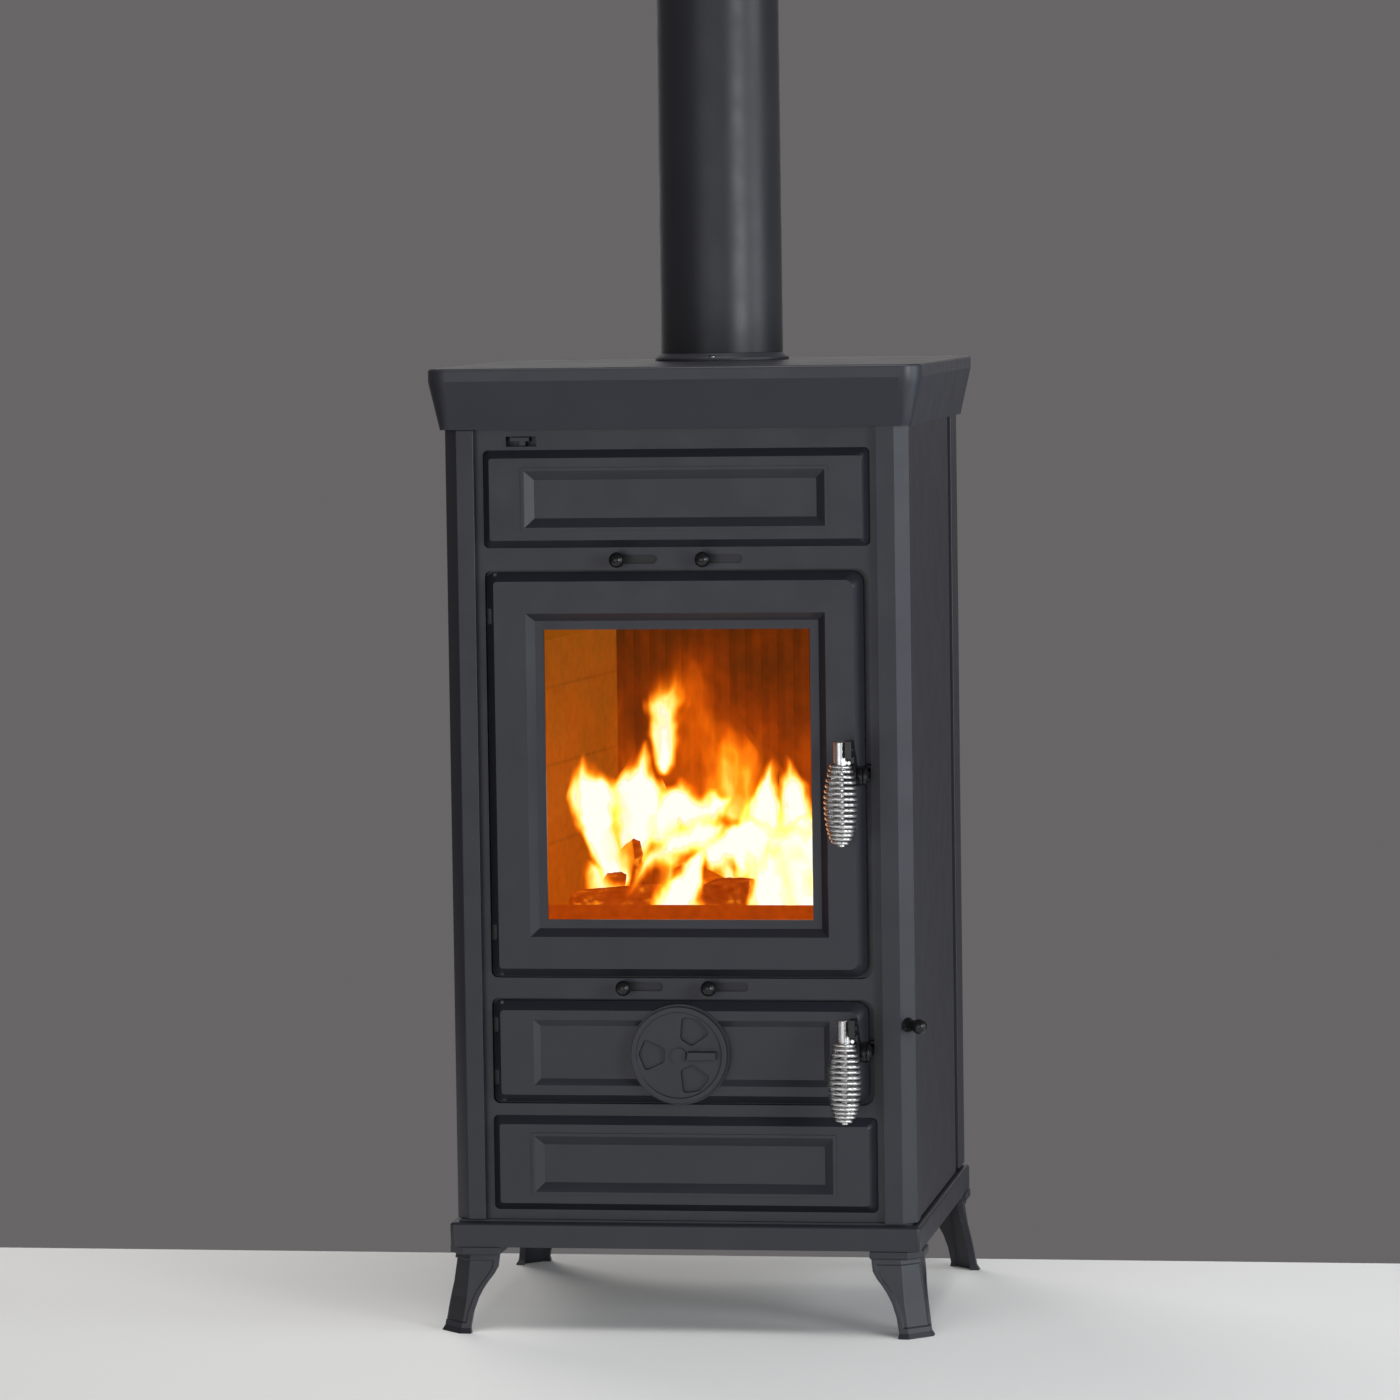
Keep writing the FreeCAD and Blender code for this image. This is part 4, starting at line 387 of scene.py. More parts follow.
# The grate, the firebox floor and the log guard carry an even painted firelight.
IRON_FIRELIGHT = (0.42, 0.052, 0.001)
FIRELIT_IRON = painted_firelight_finish("firelit_iron", (0.05, 0.02, 0.008), IRON_FIRELIGHT, IRON_FIRELIGHT, (0.34, 0.42))
print("linings:", SIDE_LINING.name, BACK_LINING.name, FIRELIT_IRON.name)

# %% [markdown]
# ## Softened castings
# A casting never has a knife edge: the mould and the paint round it by about a millimetre, and that thin
# round is what catches the light. The exact parts have sharp edges, so each casting is copied, its loose
# triangles are merged and joined to flat faces again, and a Bevel modifier rounds what is left. The copy
# stands for its part.

# %% Casting copies
def link_piece(name, mesh, body, materials):
    piece = bpy.data.objects.new(name, mesh)
    SCENE.collection.objects.link(piece)
    mesh.materials.clear()
    for material in materials:
        mesh.materials.append(material)
    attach(piece, body)
    PIECE_COUNT[name] = len(mesh.polygons)
    return piece


def softened(node, width, segments=2):
    """A mesh copy of a node with its edges rounded by a Bevel modifier."""
    mesh = frame["nodes"][node].data.copy()
    work = bmesh.new()
    work.from_mesh(mesh)
    bmesh.ops.remove_doubles(work, verts=work.verts, dist=1e-6)
    bmesh.ops.dissolve_limit(work, angle_limit=math.radians(0.4), verts=work.verts, edges=work.edges)
    work.to_mesh(mesh)
    work.free()
    stand_in = bpy.data.objects.new("softening", mesh)
    SCENE.collection.objects.link(stand_in)
    modifier = stand_in.modifiers.new("round", "BEVEL")
    modifier.width = width
    modifier.segments = segments
    modifier.limit_method = "ANGLE"
    modifier.angle_limit = math.radians(28)
    modifier.use_clamp_overlap = True
    modifier.harden_normals = True
    evaluated = stand_in.evaluated_get(bpy.context.evaluated_depsgraph_get())
    result = bpy.data.meshes.new_from_object(evaluated)
    bpy.data.objects.remove(stand_in)
    return result


SOFT_EDGES = {
    "plinth": 1.4, "top_plate": 1.2, "front_plate": 0.7, "front_post_left": 1.2, "front_post_right": 1.2,
    "rear_post_left": 1.2, "rear_post_right": 1.2, "side_panel_left": 0.8, "side_panel_right": 0.8,
    "back_panel": 0.8, "upper_panel": 1.0, "lower_panel": 1.0, "fire_door": 0.9, "ash_door": 0.9,
    "air_spinner": 0.6, "flue_collar": 0.5, "foot_front_left": 1.2, "foot_front_right": 1.2,
    "foot_rear_left": 1.2, "foot_rear_right": 1.2, "top_air_slide": 0.4,
}
for node, width in SOFT_EDGES.items():
    mesh = softened(node, width * MM)
    casting = link_piece("cast_" + node, mesh, BODY_OF[node], [STOVE_PAINT])
    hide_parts(node)
    if node in ("top_plate", "flue_collar"):
        FROM_ABOVE.objects.link(casting)
print("castings:", PIECE_COUNT)

# %% [markdown]
# ## Black fittings
# Latch levers, hooks and slide knobs wear a glossier black than the castings, and so does the bearing for
# each latch on the edge of its door. That bearing is part of the door's casting, so its faces take a
# second material by place. Each slide's shutter, seen through its slot, is painted darker than the
# castings: painted shade inside the slot.

# %% Levers, hooks, knobs and bearings
SHUTTER_DEPTH = 2.5 * MM
BEARING_PROUD, BEARING_REACH, BEARING_HALF = 12.3 * MM, 6 * MM, 10 * MM
for node in [n for n in frame["nodes"] if n.endswith(("_latch_lever", "_latch_hook"))]:
    mesh = softened(node, 0.6 * MM)
    fitting = link_piece("black_" + node, mesh, BODY_OF[node], [KNOB_PAINT])
    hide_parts(node)
for node in [n for n in frame["nodes"] if n.startswith("air_slide")]:
    mesh = softened(node, 0.3 * MM)
    slide = link_piece("black_" + node, mesh, BODY_OF[node], [KNOB_PAINT, SLOT_SHADE_PAINT])
    # Faces behind the front plate, inside the slot, take the darker paint as painted shade; the knob stays
    # black.
    for face in slide.data.polygons:
        face.material_index = 1 if face.center.y > FACE_Y + SHUTTER_DEPTH else 0
    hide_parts(node)
for door in ("fire", "ash"):
    casting = bpy.data.objects["cast_" + door + "_door"]
    casting.data.materials.append(KNOB_PAINT)
    low, high = (Vector(corner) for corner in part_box(door + "_latch_hook"))
    middle = (low.z + high.z) / 2
    bearing = [face for face in casting.data.polygons
               if face.center.x > low.x - BEARING_REACH and face.center.y < FACE_Y - BEARING_PROUD
               and abs(face.center.z - middle) < BEARING_HALF]
    for face in bearing:
        face.material_index = 1
    print(casting.name, "bearing faces:", len(bearing))

# %% [markdown]
# ## Parts that keep their exact mesh
# Screws, pins, the pipe and most of what is inside the firebox need no new shape, so they only get a
# finish: a material goes in the slot of the part's own object. The hinge pins and the spinner's bolt are
# painted like the castings that they sit in.

# %% Finishes on the exact parts
FINISH_BY_SLOT = {
    "black_iron": STOVE_PAINT, "pipe_paint": PIPE_PAINT, "plain_steel": PLAIN_STEEL,
    "bright_steel": BRIGHT_STEEL, "pan_steel": PAN_STEEL, "glass": FIRE_GLASS, "rope": SEAL_ROPE,
    "fire_lining": SIDE_LINING, "inner_iron": SOOTED_IRON,
}
FINISH_BY_NODE = {
    "riddling_knob": KNOB_PAINT, "latch_keepers": KNOB_PAINT,
    "hinge_pins": STOVE_PAINT, "spinner_bolt": STOVE_PAINT,
    # The back plate, log guard, firebox floor and grate take the painted firelight finishes.
    "rear_liner": BACK_LINING, "log_guard": FIRELIT_IRON, "firebox_floor": FIRELIT_IRON, "grate": FIRELIT_IRON,
}
for part in frame["record"]["subparts"]:
    mesh = frame["nodes"][part["node"]].data
    mesh.materials.clear()
    mesh.materials.append(FINISH_BY_NODE.get(part["node"]) or FINISH_BY_SLOT[part["material_slot"]])
gasket_mesh = softened("glass_gasket", 0.6 * MM, 3)
gasket = link_piece("soft_glass_gasket", gasket_mesh, BODY_OF["glass_gasket"], [SEAL_ROPE])
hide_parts("glass_gasket")
print("own finish:", list(FINISH_BY_NODE))

# %% [markdown]
# ## Wire grips
# Each handle is a rod inside a barrel of wire, wound tight at both ends and open in the middle, so that
# it stays cool. The winding follows a rule, so it is a Geometry Nodes tree: a straight line of points is
# moved onto the barrel by its own index, and a round wire is swept along it.

# %% Geometry Nodes helpers
def new_tree(name, inputs):
    tree = bpy.data.node_groups.new(name, "GeometryNodeTree")
    tree.interface.new_socket("Geometry", in_out="OUTPUT", socket_type="NodeSocketGeometry")
    sockets = {}
    for label, kind, value in inputs:
        socket = tree.interface.new_socket(label, in_out="INPUT", socket_type=kind)
        if value is not None:
            socket.default_value = value
        sockets[label] = socket.identifier
    return tree, tree.nodes.new("NodeGroupInput"), tree.nodes.new("NodeGroupOutput"), sockets


def grown(tree, sockets, settings):
    """The plain mesh that a tree makes with these settings."""
    holder = bpy.data.objects.new("growing", bpy.data.meshes.new("growing"))
    SCENE.collection.objects.link(holder)
    modifier = holder.modifiers.new("nodes", "NODES")
    modifier.node_group = tree
    for label, value in settings.items():
        modifier[sockets[label]] = value
    evaluated = holder.evaluated_get(bpy.context.evaluated_depsgraph_get())
    mesh = bpy.data.meshes.new_from_object(evaluated)
    bpy.data.objects.remove(holder)
    return mesh


def finish_tree(tree, geometry, output, material):
    realize = tree.nodes.new("GeometryNodeRealizeInstances")
    smooth = tree.nodes.new("GeometryNodeSetShadeSmooth")
    paint = tree.nodes.new("GeometryNodeSetMaterial")
    paint.inputs["Material"].default_value = material
    tree.links.new(geometry, realize.inputs[0])
    tree.links.new(realize.outputs[0], smooth.inputs[0])
    tree.links.new(smooth.outputs[0], paint.inputs[0])
    tree.links.new(paint.outputs[0], output.inputs[0])


# %% The winding
FIRST_TURNS, OPEN_TURNS, LAST_TURNS = 2.0, 10.0, 4.0
POINTS_PER_TURN = 36
WIRE_SIDES = 12
WIRE_R = 1.7 * MM


def winding_tree():
    tree, given, output, sockets = new_tree("wire_grip", [
        ("Top", "NodeSocketVector", None), ("Wire Radius", "NodeSocketFloat", WIRE_R),
        ("Tight Pitch", "NodeSocketFloat", 0.0039), ("Open Pitch", "NodeSocketFloat", 0.0051),
        ("Top Radius", "NodeSocketFloat", 0.008), ("Belly Radius", "NodeSocketFloat", 0.0144),
        ("End Radius", "NodeSocketFloat", 0.0053), ("Belly Place", "NodeSocketFloat", 0.48)])
    line = tree.nodes.new("GeometryNodeCurvePrimitiveLine")
    points = tree.nodes.new("GeometryNodeResampleCurve")
    points.inputs["Count"].default_value = int((FIRST_TURNS + OPEN_TURNS + LAST_TURNS) * POINTS_PER_TURN) + 1
    tree.links.new(line.outputs[0], points.inputs["Curve"])
    index = tree.nodes.new("GeometryNodeInputIndex").outputs[0]
    turn = math_node(tree, "DIVIDE", index, float(POINTS_PER_TURN))
    tight = math_node(tree, "MINIMUM", turn, FIRST_TURNS)
    past = math_node(tree, "MAXIMUM", math_node(tree, "SUBTRACT", turn, FIRST_TURNS), 0.0)
    loose = math_node(tree, "MINIMUM", past, OPEN_TURNS)
    last = math_node(tree, "SUBTRACT", past, loose)
    ends = math_node(tree, "MULTIPLY", math_node(tree, "ADD", tight, last), given.outputs["Tight Pitch"])
    drop = math_node(tree, "MULTIPLY_ADD", loose, given.outputs["Open Pitch"], ends)
    whole = math_node(tree, "MULTIPLY", given.outputs["Tight Pitch"], FIRST_TURNS + LAST_TURNS)
    whole = math_node(tree, "MULTIPLY_ADD", given.outputs["Open Pitch"], OPEN_TURNS, whole)
    share = math_node(tree, "DIVIDE", drop, whole)
    belly = given.outputs["Belly Place"]
    rise = math_node(tree, "MINIMUM", math_node(tree, "DIVIDE", share, belly), 1.0)
    swell = math_node(tree, "SINE", math_node(tree, "MULTIPLY", rise, math.pi / 2))
    after = math_node(tree, "MAXIMUM", math_node(tree, "SUBTRACT", share, belly), 0.0)
    after = math_node(tree, "DIVIDE", after, math_node(tree, "SUBTRACT", 1.0, belly))
    fall = math_node(tree, "COSINE", math_node(tree, "MULTIPLY", after, math.pi / 2))
    fall = math_node(tree, "SQRT", math_node(tree, "MAXIMUM", fall, 0.0))
    top_r, belly_r, end_r = (given.outputs[part + " Radius"] for part in ("Top", "Belly", "End"))
    top_part = math_node(tree, "MULTIPLY_ADD", swell, math_node(tree, "SUBTRACT", belly_r, top_r), top_r)
    end_part = math_node(tree, "MULTIPLY_ADD", fall, math_node(tree, "SUBTRACT", belly_r, end_r), end_r)
    radius = math_node(tree, "MINIMUM", top_part, end_part)
    angle = math_node(tree, "MULTIPLY", turn, 2 * math.pi)
    place = tree.nodes.new("ShaderNodeCombineXYZ")
    tree.links.new(math_node(tree, "MULTIPLY", radius, math_node(tree, "COSINE", angle)), place.inputs["X"])
    tree.links.new(math_node(tree, "MULTIPLY", radius, math_node(tree, "SINE", angle)), place.inputs["Y"])
    tree.links.new(math_node(tree, "MULTIPLY", drop, -1.0), place.inputs["Z"])
    shifted = tree.nodes.new("ShaderNodeVectorMath")
    tree.links.new(place.outputs[0], shifted.inputs[0])
    tree.links.new(given.outputs["Top"], shifted.inputs[1])
    moved = tree.nodes.new("GeometryNodeSetPosition")
    tree.links.new(points.outputs[0], moved.inputs["Geometry"])
    tree.links.new(shifted.outputs[0], moved.inputs["Position"])
    ring = tree.nodes.new("GeometryNodeCurvePrimitiveCircle")
    ring.inputs["Resolution"].default_value = WIRE_SIDES
    tree.links.new(given.outputs["Wire Radius"], ring.inputs["Radius"])
    wire = tree.nodes.new("GeometryNodeCurveToMesh")
    wire.inputs["Fill Caps"].default_value = True
    tree.links.new(moved.outputs[0], wire.inputs["Curve"])
    tree.links.new(ring.outputs[0], wire.inputs["Profile Curve"])
    finish_tree(tree, wire.outputs[0], output, BRIGHT_STEEL)
    return tree, sockets


WINDING, WINDING_SOCKETS = winding_tree()
for door in ("fire", "ash"):
    node = door + "_handle_coil"
    rod_low, rod_high = (Vector(corner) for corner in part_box(door + "_handle_rod"))
    top = (rod_low + rod_high) / 2
    top.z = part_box(node)[1][2] - WIRE_R
    grip = link_piece(door + "_wire_grip", grown(WINDING, WINDING_SOCKETS, {"Top": top}), BODY_OF[node],
                      [BRIGHT_STEEL])
    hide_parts(node)
    print(grip.name, "faces:", len(grip.data.polygons))

# %% [markdown]
# ## Rope seals
# Behind each door a glass fibre rope lies in a groove and presses on the frame. A rope is strands twisted
# round each other, so the tree sweeps a ring of small circles along a rounded rectangle whose tilt grows
# steadily.

# %% Twisted rope
STRANDS, STRAND_SIDES = 4, 8
CORNER_STEPS = 8
ROPE_STEP = 1.4 * MM
SEAL_CORNER = 9 * MM
TWIST_PITCH = 14 * MM


def rope_tree():
    tree, given, output, sockets = new_tree("rope_seal", [
        ("Centre", "NodeSocketVector", None),
        ("Width", "NodeSocketFloat", 0.3), ("Height", "NodeSocketFloat", 0.3),
        ("Rope Radius", "NodeSocketFloat", 0.0033), ("Corner", "NodeSocketFloat", SEAL_CORNER)])
    frame_curve = tree.nodes.new("GeometryNodeCurvePrimitiveQuadrilateral")
    tree.links.new(given.outputs["Width"], frame_curve.inputs["Width"])
    tree.links.new(given.outputs["Height"], frame_curve.inputs["Height"])
    fillet = tree.nodes.new("GeometryNodeFilletCurve")
    fillet.mode = "POLY"
    fillet.inputs["Count"].default_value = CORNER_STEPS
    tree.links.new(frame_curve.outputs[0], fillet.inputs["Curve"])
    tree.links.new(given.outputs["Corner"], fillet.inputs["Radius"])
    even = tree.nodes.new("GeometryNodeResampleCurve")
    even.mode = "LENGTH"
    even.inputs["Length"].default_value = ROPE_STEP
    tree.links.new(fillet.outputs[0], even.inputs["Curve"])
    along = tree.nodes.new("GeometryNodeSplineParameter")
    whole = tree.nodes.new("GeometryNodeSplineLength")
    turns = math_node(tree, "ROUND", math_node(tree, "DIVIDE", whole.outputs["Length"], TWIST_PITCH))
    turned = math_node(tree, "MULTIPLY", along.outputs["Factor"], turns)
    tilt = math_node(tree, "MULTIPLY", turned, 2 * math.pi)
    twisted = tree.nodes.new("GeometryNodeSetCurveTilt")
    tree.links.new(even.outputs[0], twisted.inputs["Curve"])
    tree.links.new(tilt, twisted.inputs["Tilt"])
    strand_r = math_node(tree, "MULTIPLY", given.outputs["Rope Radius"], 0.5)
    circle = tree.nodes.new("GeometryNodeCurvePrimitiveCircle")
    circle.inputs["Resolution"].default_value = STRANDS
    tree.links.new(strand_r, circle.inputs["Radius"])
    strand = tree.nodes.new("GeometryNodeCurvePrimitiveCircle")
    strand.inputs["Resolution"].default_value = STRAND_SIDES
    tree.links.new(strand_r, strand.inputs["Radius"])
    centres = tree.nodes.new("GeometryNodeInstanceOnPoints")
    tree.links.new(circle.outputs[0], centres.inputs["Points"])
    tree.links.new(strand.outputs[0], centres.inputs["Instance"])
    profile = tree.nodes.new("GeometryNodeRealizeInstances")
    tree.links.new(centres.outputs[0], profile.inputs[0])
    rope = tree.nodes.new("GeometryNodeCurveToMesh")
    tree.links.new(twisted.outputs[0], rope.inputs["Curve"])
    tree.links.new(profile.outputs[0], rope.inputs["Profile Curve"])
    stand = tree.nodes.new("GeometryNodeTransform")
    stand.inputs["Rotation"].default_value = (math.pi / 2, 0, 0)
    tree.links.new(rope.outputs[0], stand.inputs["Geometry"])
    tree.links.new(given.outputs["Centre"], stand.inputs["Translation"])
    finish_tree(tree, stand.outputs[0], output, SEAL_ROPE)
    return tree, sockets


ROPE, ROPE_SOCKETS = rope_tree()
for door in ("fire", "ash"):
    node = door + "_door_seal"
    low, high = (Vector(corner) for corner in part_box(node))
    rope_r = (high.y - low.y) / 2
    size = high - low
    mesh = grown(ROPE, ROPE_SOCKETS, {"Centre": (low + high) / 2, "Width": size.x - 2 * rope_r,
                                      "Height": size.z - 2 * rope_r, "Rope Radius": rope_r})
    seal = link_piece(door + "_rope_seal", mesh, BODY_OF[node], [SEAL_ROPE])
    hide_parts(node)
    print(seal.name, "faces:", len(mesh.polygons))

# %% [markdown]
# ## Ember bed
# A low heap of embers lies on the grate: a few hundred lumps scattered over a rectangle that is higher in
# the middle. Loose lumps on a surface are a job for Geometry Nodes: points spread over a grid, one lump
# on each, every lump turned and sized at random from one fixed seed. The glow sits in patches, so the
# heap is part ash and part fire.

# %% Embers
EMBER_MIDDLE = spot(0, 170, 354)
EMBER_SIZE = (0.236, 0.225)
EMBER_SEED = 7


def ember_finish():
    material, tree, shader = new_material("embers")
    heat = noise(tree, 55.0, 4.0)
    tree.links.new(ramp(tree, heat, [(0.35, (0.05, 0.04, 0.035)), (0.7, (0.012, 0.01, 0.009))]),
                   shader.inputs["Base Color"])
    shader.inputs["Roughness"].default_value = 0.95
    glow = ramp(tree, heat, [(0.30, (0.10, 0.010, 0.0)), (0.48, (0.85, 0.14, 0.004)),
                             (0.66, (1.0, 0.5, 0.06))])
    tree.links.new(glow, shader.inputs["Emission Color"])
    shader.inputs["Emission Strength"].default_value = 1.3
    material.cycles.emission_sampling = "NONE"
    return material


def ember_tree(material):
    tree, given, output, sockets = new_tree("ember_bed", [
        ("Middle", "NodeSocketVector", None),
        ("Lump", "NodeSocketFloat", 0.0095), ("Heap", "NodeSocketFloat", 0.024),
        ("Density", "NodeSocketFloat", 9000.0), ("Seed", "NodeSocketInt", EMBER_SEED)])
    grid = tree.nodes.new("GeometryNodeMeshGrid")
    grid.inputs["Size X"].default_value, grid.inputs["Size Y"].default_value = EMBER_SIZE
    scatter = tree.nodes.new("GeometryNodeDistributePointsOnFaces")
    tree.links.new(grid.outputs["Mesh"], scatter.inputs["Mesh"])
    tree.links.new(given.outputs["Density"], scatter.inputs["Density"])
    tree.links.new(given.outputs["Seed"], scatter.inputs["Seed"])
    away = tree.nodes.new("ShaderNodeVectorMath")
    away.operation = "LENGTH"
    tree.links.new(tree.nodes.new("GeometryNodeInputPosition").outputs[0], away.inputs[0])
    outward = math_node(tree, "DIVIDE", away.outputs["Value"], EMBER_SIZE[0] * 0.7)
    fall = math_node(tree, "SUBTRACT", 1.0, outward)
    lift = tree.nodes.new("ShaderNodeCombineXYZ")
    tree.links.new(math_node(tree, "MULTIPLY", fall, given.outputs["Heap"]), lift.inputs["Z"])
    heap = tree.nodes.new("GeometryNodeSetPosition")
    tree.links.new(scatter.outputs["Points"], heap.inputs["Geometry"])
    tree.links.new(lift.outputs[0], heap.inputs["Offset"])
    lump = tree.nodes.new("GeometryNodeMeshIcoSphere")
    lump.inputs["Subdivisions"].default_value = 2
    tree.links.new(given.outputs["Lump"], lump.inputs["Radius"])
    size = tree.nodes.new("FunctionNodeRandomValue")
    size.data_type = "FLOAT_VECTOR"
    size.inputs["Min"].default_value, size.inputs["Max"].default_value = (0.5, 0.5, 0.4), (1.35, 1.25, 0.9)
    turn = tree.nodes.new("FunctionNodeRandomValue")
    turn.data_type = "FLOAT_VECTOR"
    turn.inputs["Max"].default_value = (0.6, 0.6, 6.28)
    tree.links.new(given.outputs["Seed"], size.inputs["Seed"])
    tree.links.new(given.outputs["Seed"], turn.inputs["Seed"])
    lumps = tree.nodes.new("GeometryNodeInstanceOnPoints")
    tree.links.new(heap.outputs[0], lumps.inputs["Points"])
    tree.links.new(lump.outputs["Mesh"], lumps.inputs["Instance"])
    tree.links.new(size.outputs["Value"], lumps.inputs["Scale"])
    tree.links.new(turn.outputs["Value"], lumps.inputs["Rotation"])
    place = tree.nodes.new("GeometryNodeTransform")
    tree.links.new(lumps.outputs[0], place.inputs["Geometry"])
    tree.links.new(given.outputs["Middle"], place.inputs["Translation"])
    finish_tree(tree, place.outputs[0], output, material)
    return tree, sockets


EMBERS = ember_finish()
EMBER_TREE, EMBER_SOCKETS = ember_tree(EMBERS)
ember_mesh = grown(EMBER_TREE, EMBER_SOCKETS, {"Middle": EMBER_MIDDLE})
embers = link_piece("ember_bed", ember_mesh, "stove", [EMBERS])
print(embers.name, "faces:", len(embers.data.polygons))

# %% [markdown]
# ## Split logs
# Logs split from a round have one curved bark side and two flat ones. Each is a swept wedge, roughened by
# a few waves that come from its own seed. Burning wood is black where it is charred and glows in its
# cracks, so the finish has a charred base colour and an emission from stretched noise.

# %% Logs
# Both ends (X, depth behind the front plate, height), radius in millimetres, and the seed
LOGS = [
    ((-118, 84, 386), (-28, 104, 392), 23, 3),
    ((-86, 118, 398), (-38, 185, 486), 19, 5),
    ((16, 78, 404), (48, 262, 410), 29, 8),
    ((-28, 150, 446), (112, 176, 436), 23, 12),
    ((70, 86, 384), (116, 112, 392), 22, 17),
    ((-66, 112, 384), (-8, 262, 394), 27, 21),
]
LOG_RINGS, LOG_SIDES = 26, 20
LOG_WAVES = 6
END_SHRINK, END_RAGGED = 0.93, 3.0


def log_finish():
    material, tree, shader = new_material("burning_wood")
    grain = noise(tree, 45.0, 3.0)
    tree.links.new(ramp(tree, grain, [(0.35, (0.010, 0.006, 0.004)), (0.65, (0.04, 0.02, 0.010))]),
                   shader.inputs["Base Color"])
    shader.inputs["Roughness"].default_value = 0.9
    shader.inputs["Specular IOR Level"].default_value = 0.0
    cracks = noise(tree, 95.0, 3.0, (1, 1, 2.4))
    heat = math_node(tree, "MULTIPLY", grain, math_node(tree, "MULTIPLY", cracks, 2.0))
    glow = ramp(tree, heat, [(0.2, (0.27, 0.026, 0.0)), (0.6, (0.44, 0.055, 0.001)),
                             (0.95, (1.0, 0.32, 0.01))])
    tree.links.new(glow, shader.inputs["Emission Color"])
    shader.inputs["Emission Strength"].default_value = 1.0
    bump(tree, shader, cracks, 0.4, 0.001)
    material.cycles.emission_sampling = "NONE"
    return material


def wedge_radius(angle, radius):
    """Distance from the axis to a split log's surface: a round back and two flats that meet in front."""
    flat = 0.42 * radius
    reach = radius
    for facing in (math.radians(55), math.radians(125)):
        lean = math.cos(angle - facing)
        if lean > 0.05:
            reach = min(reach, flat / lean)
    return reach


def split_log(start, end, radius, seed):
    chance = random.Random(seed)
    waves = [(chance.randint(2, 7), chance.uniform(0, 6.28), chance.uniform(2, 9),
              chance.uniform(0.012, 0.05)) for _ in range(LOG_WAVES)]
    roll = chance.uniform(0, 6.28)
    start, end = Vector(start), Vector(end)
    along = (end - start).normalized()
    side = along.cross(Vector((0, 0, 1))).normalized()
    up = side.cross(along)
    verts, faces = [], []
    for i in range(LOG_RINGS):
        share = i / (LOG_RINGS - 1)
        at_end = i in (0, LOG_RINGS - 1)
        for k in range(LOG_SIDES):
            angle = 2 * math.pi * k / LOG_SIDES
            rough = sum(depth * math.sin(count * angle + phase + share * run)
                        for count, phase, run, depth in waves)
            r = wedge_radius(angle, radius) * (1 + rough) * (END_SHRINK if at_end else 1.0)
            ragged = END_RAGGED * math.sin(3 * angle + roll) if at_end else 0.0
            point = start.lerp(end, share) + along * ragged
            outward = side * (r * math.cos(angle + roll)) + up * (r * math.sin(angle + roll))
            verts.append(spot(*(point + outward)))
    for i in range(LOG_RINGS - 1):
        for k in range(LOG_SIDES):
            a, b = i * LOG_SIDES + k, i * LOG_SIDES + (k + 1) % LOG_SIDES
            faces.append((a, b, b + LOG_SIDES, a + LOG_SIDES))
    faces.append(tuple(reversed(range(LOG_SIDES))))
    faces.append(tuple(range((LOG_RINGS - 1) * LOG_SIDES, LOG_RINGS * LOG_SIDES)))
    mesh = bpy.data.meshes.new("split_log")
    mesh.from_pydata(verts, [], faces)
    mesh.shade_smooth()
    return mesh


BURNING_WOOD = log_finish()
for number, (start, end, radius, seed) in enumerate(LOGS, 1):
    log = link_piece("log_%d" % number, split_log(start, end, radius, seed), "stove", [BURNING_WOOD])
print("logs:", len(LOGS), "faces each:", len(log.data.polygons))

# %% [markdown]
# ## Flames
# A flame is a thin glowing sheet of gas. Each tongue is a strip of faces that follows a curved spine and
# narrows to its tip; it bows a little towards the viewer. Three numbers are stored on every vertex: how
# far it is across the strip, how far along, and how strong the tongue is. The finish turns them and a
# drifting noise into heat, and heat into colour and see-through: white at the core, then yellow, orange
# and nothing.

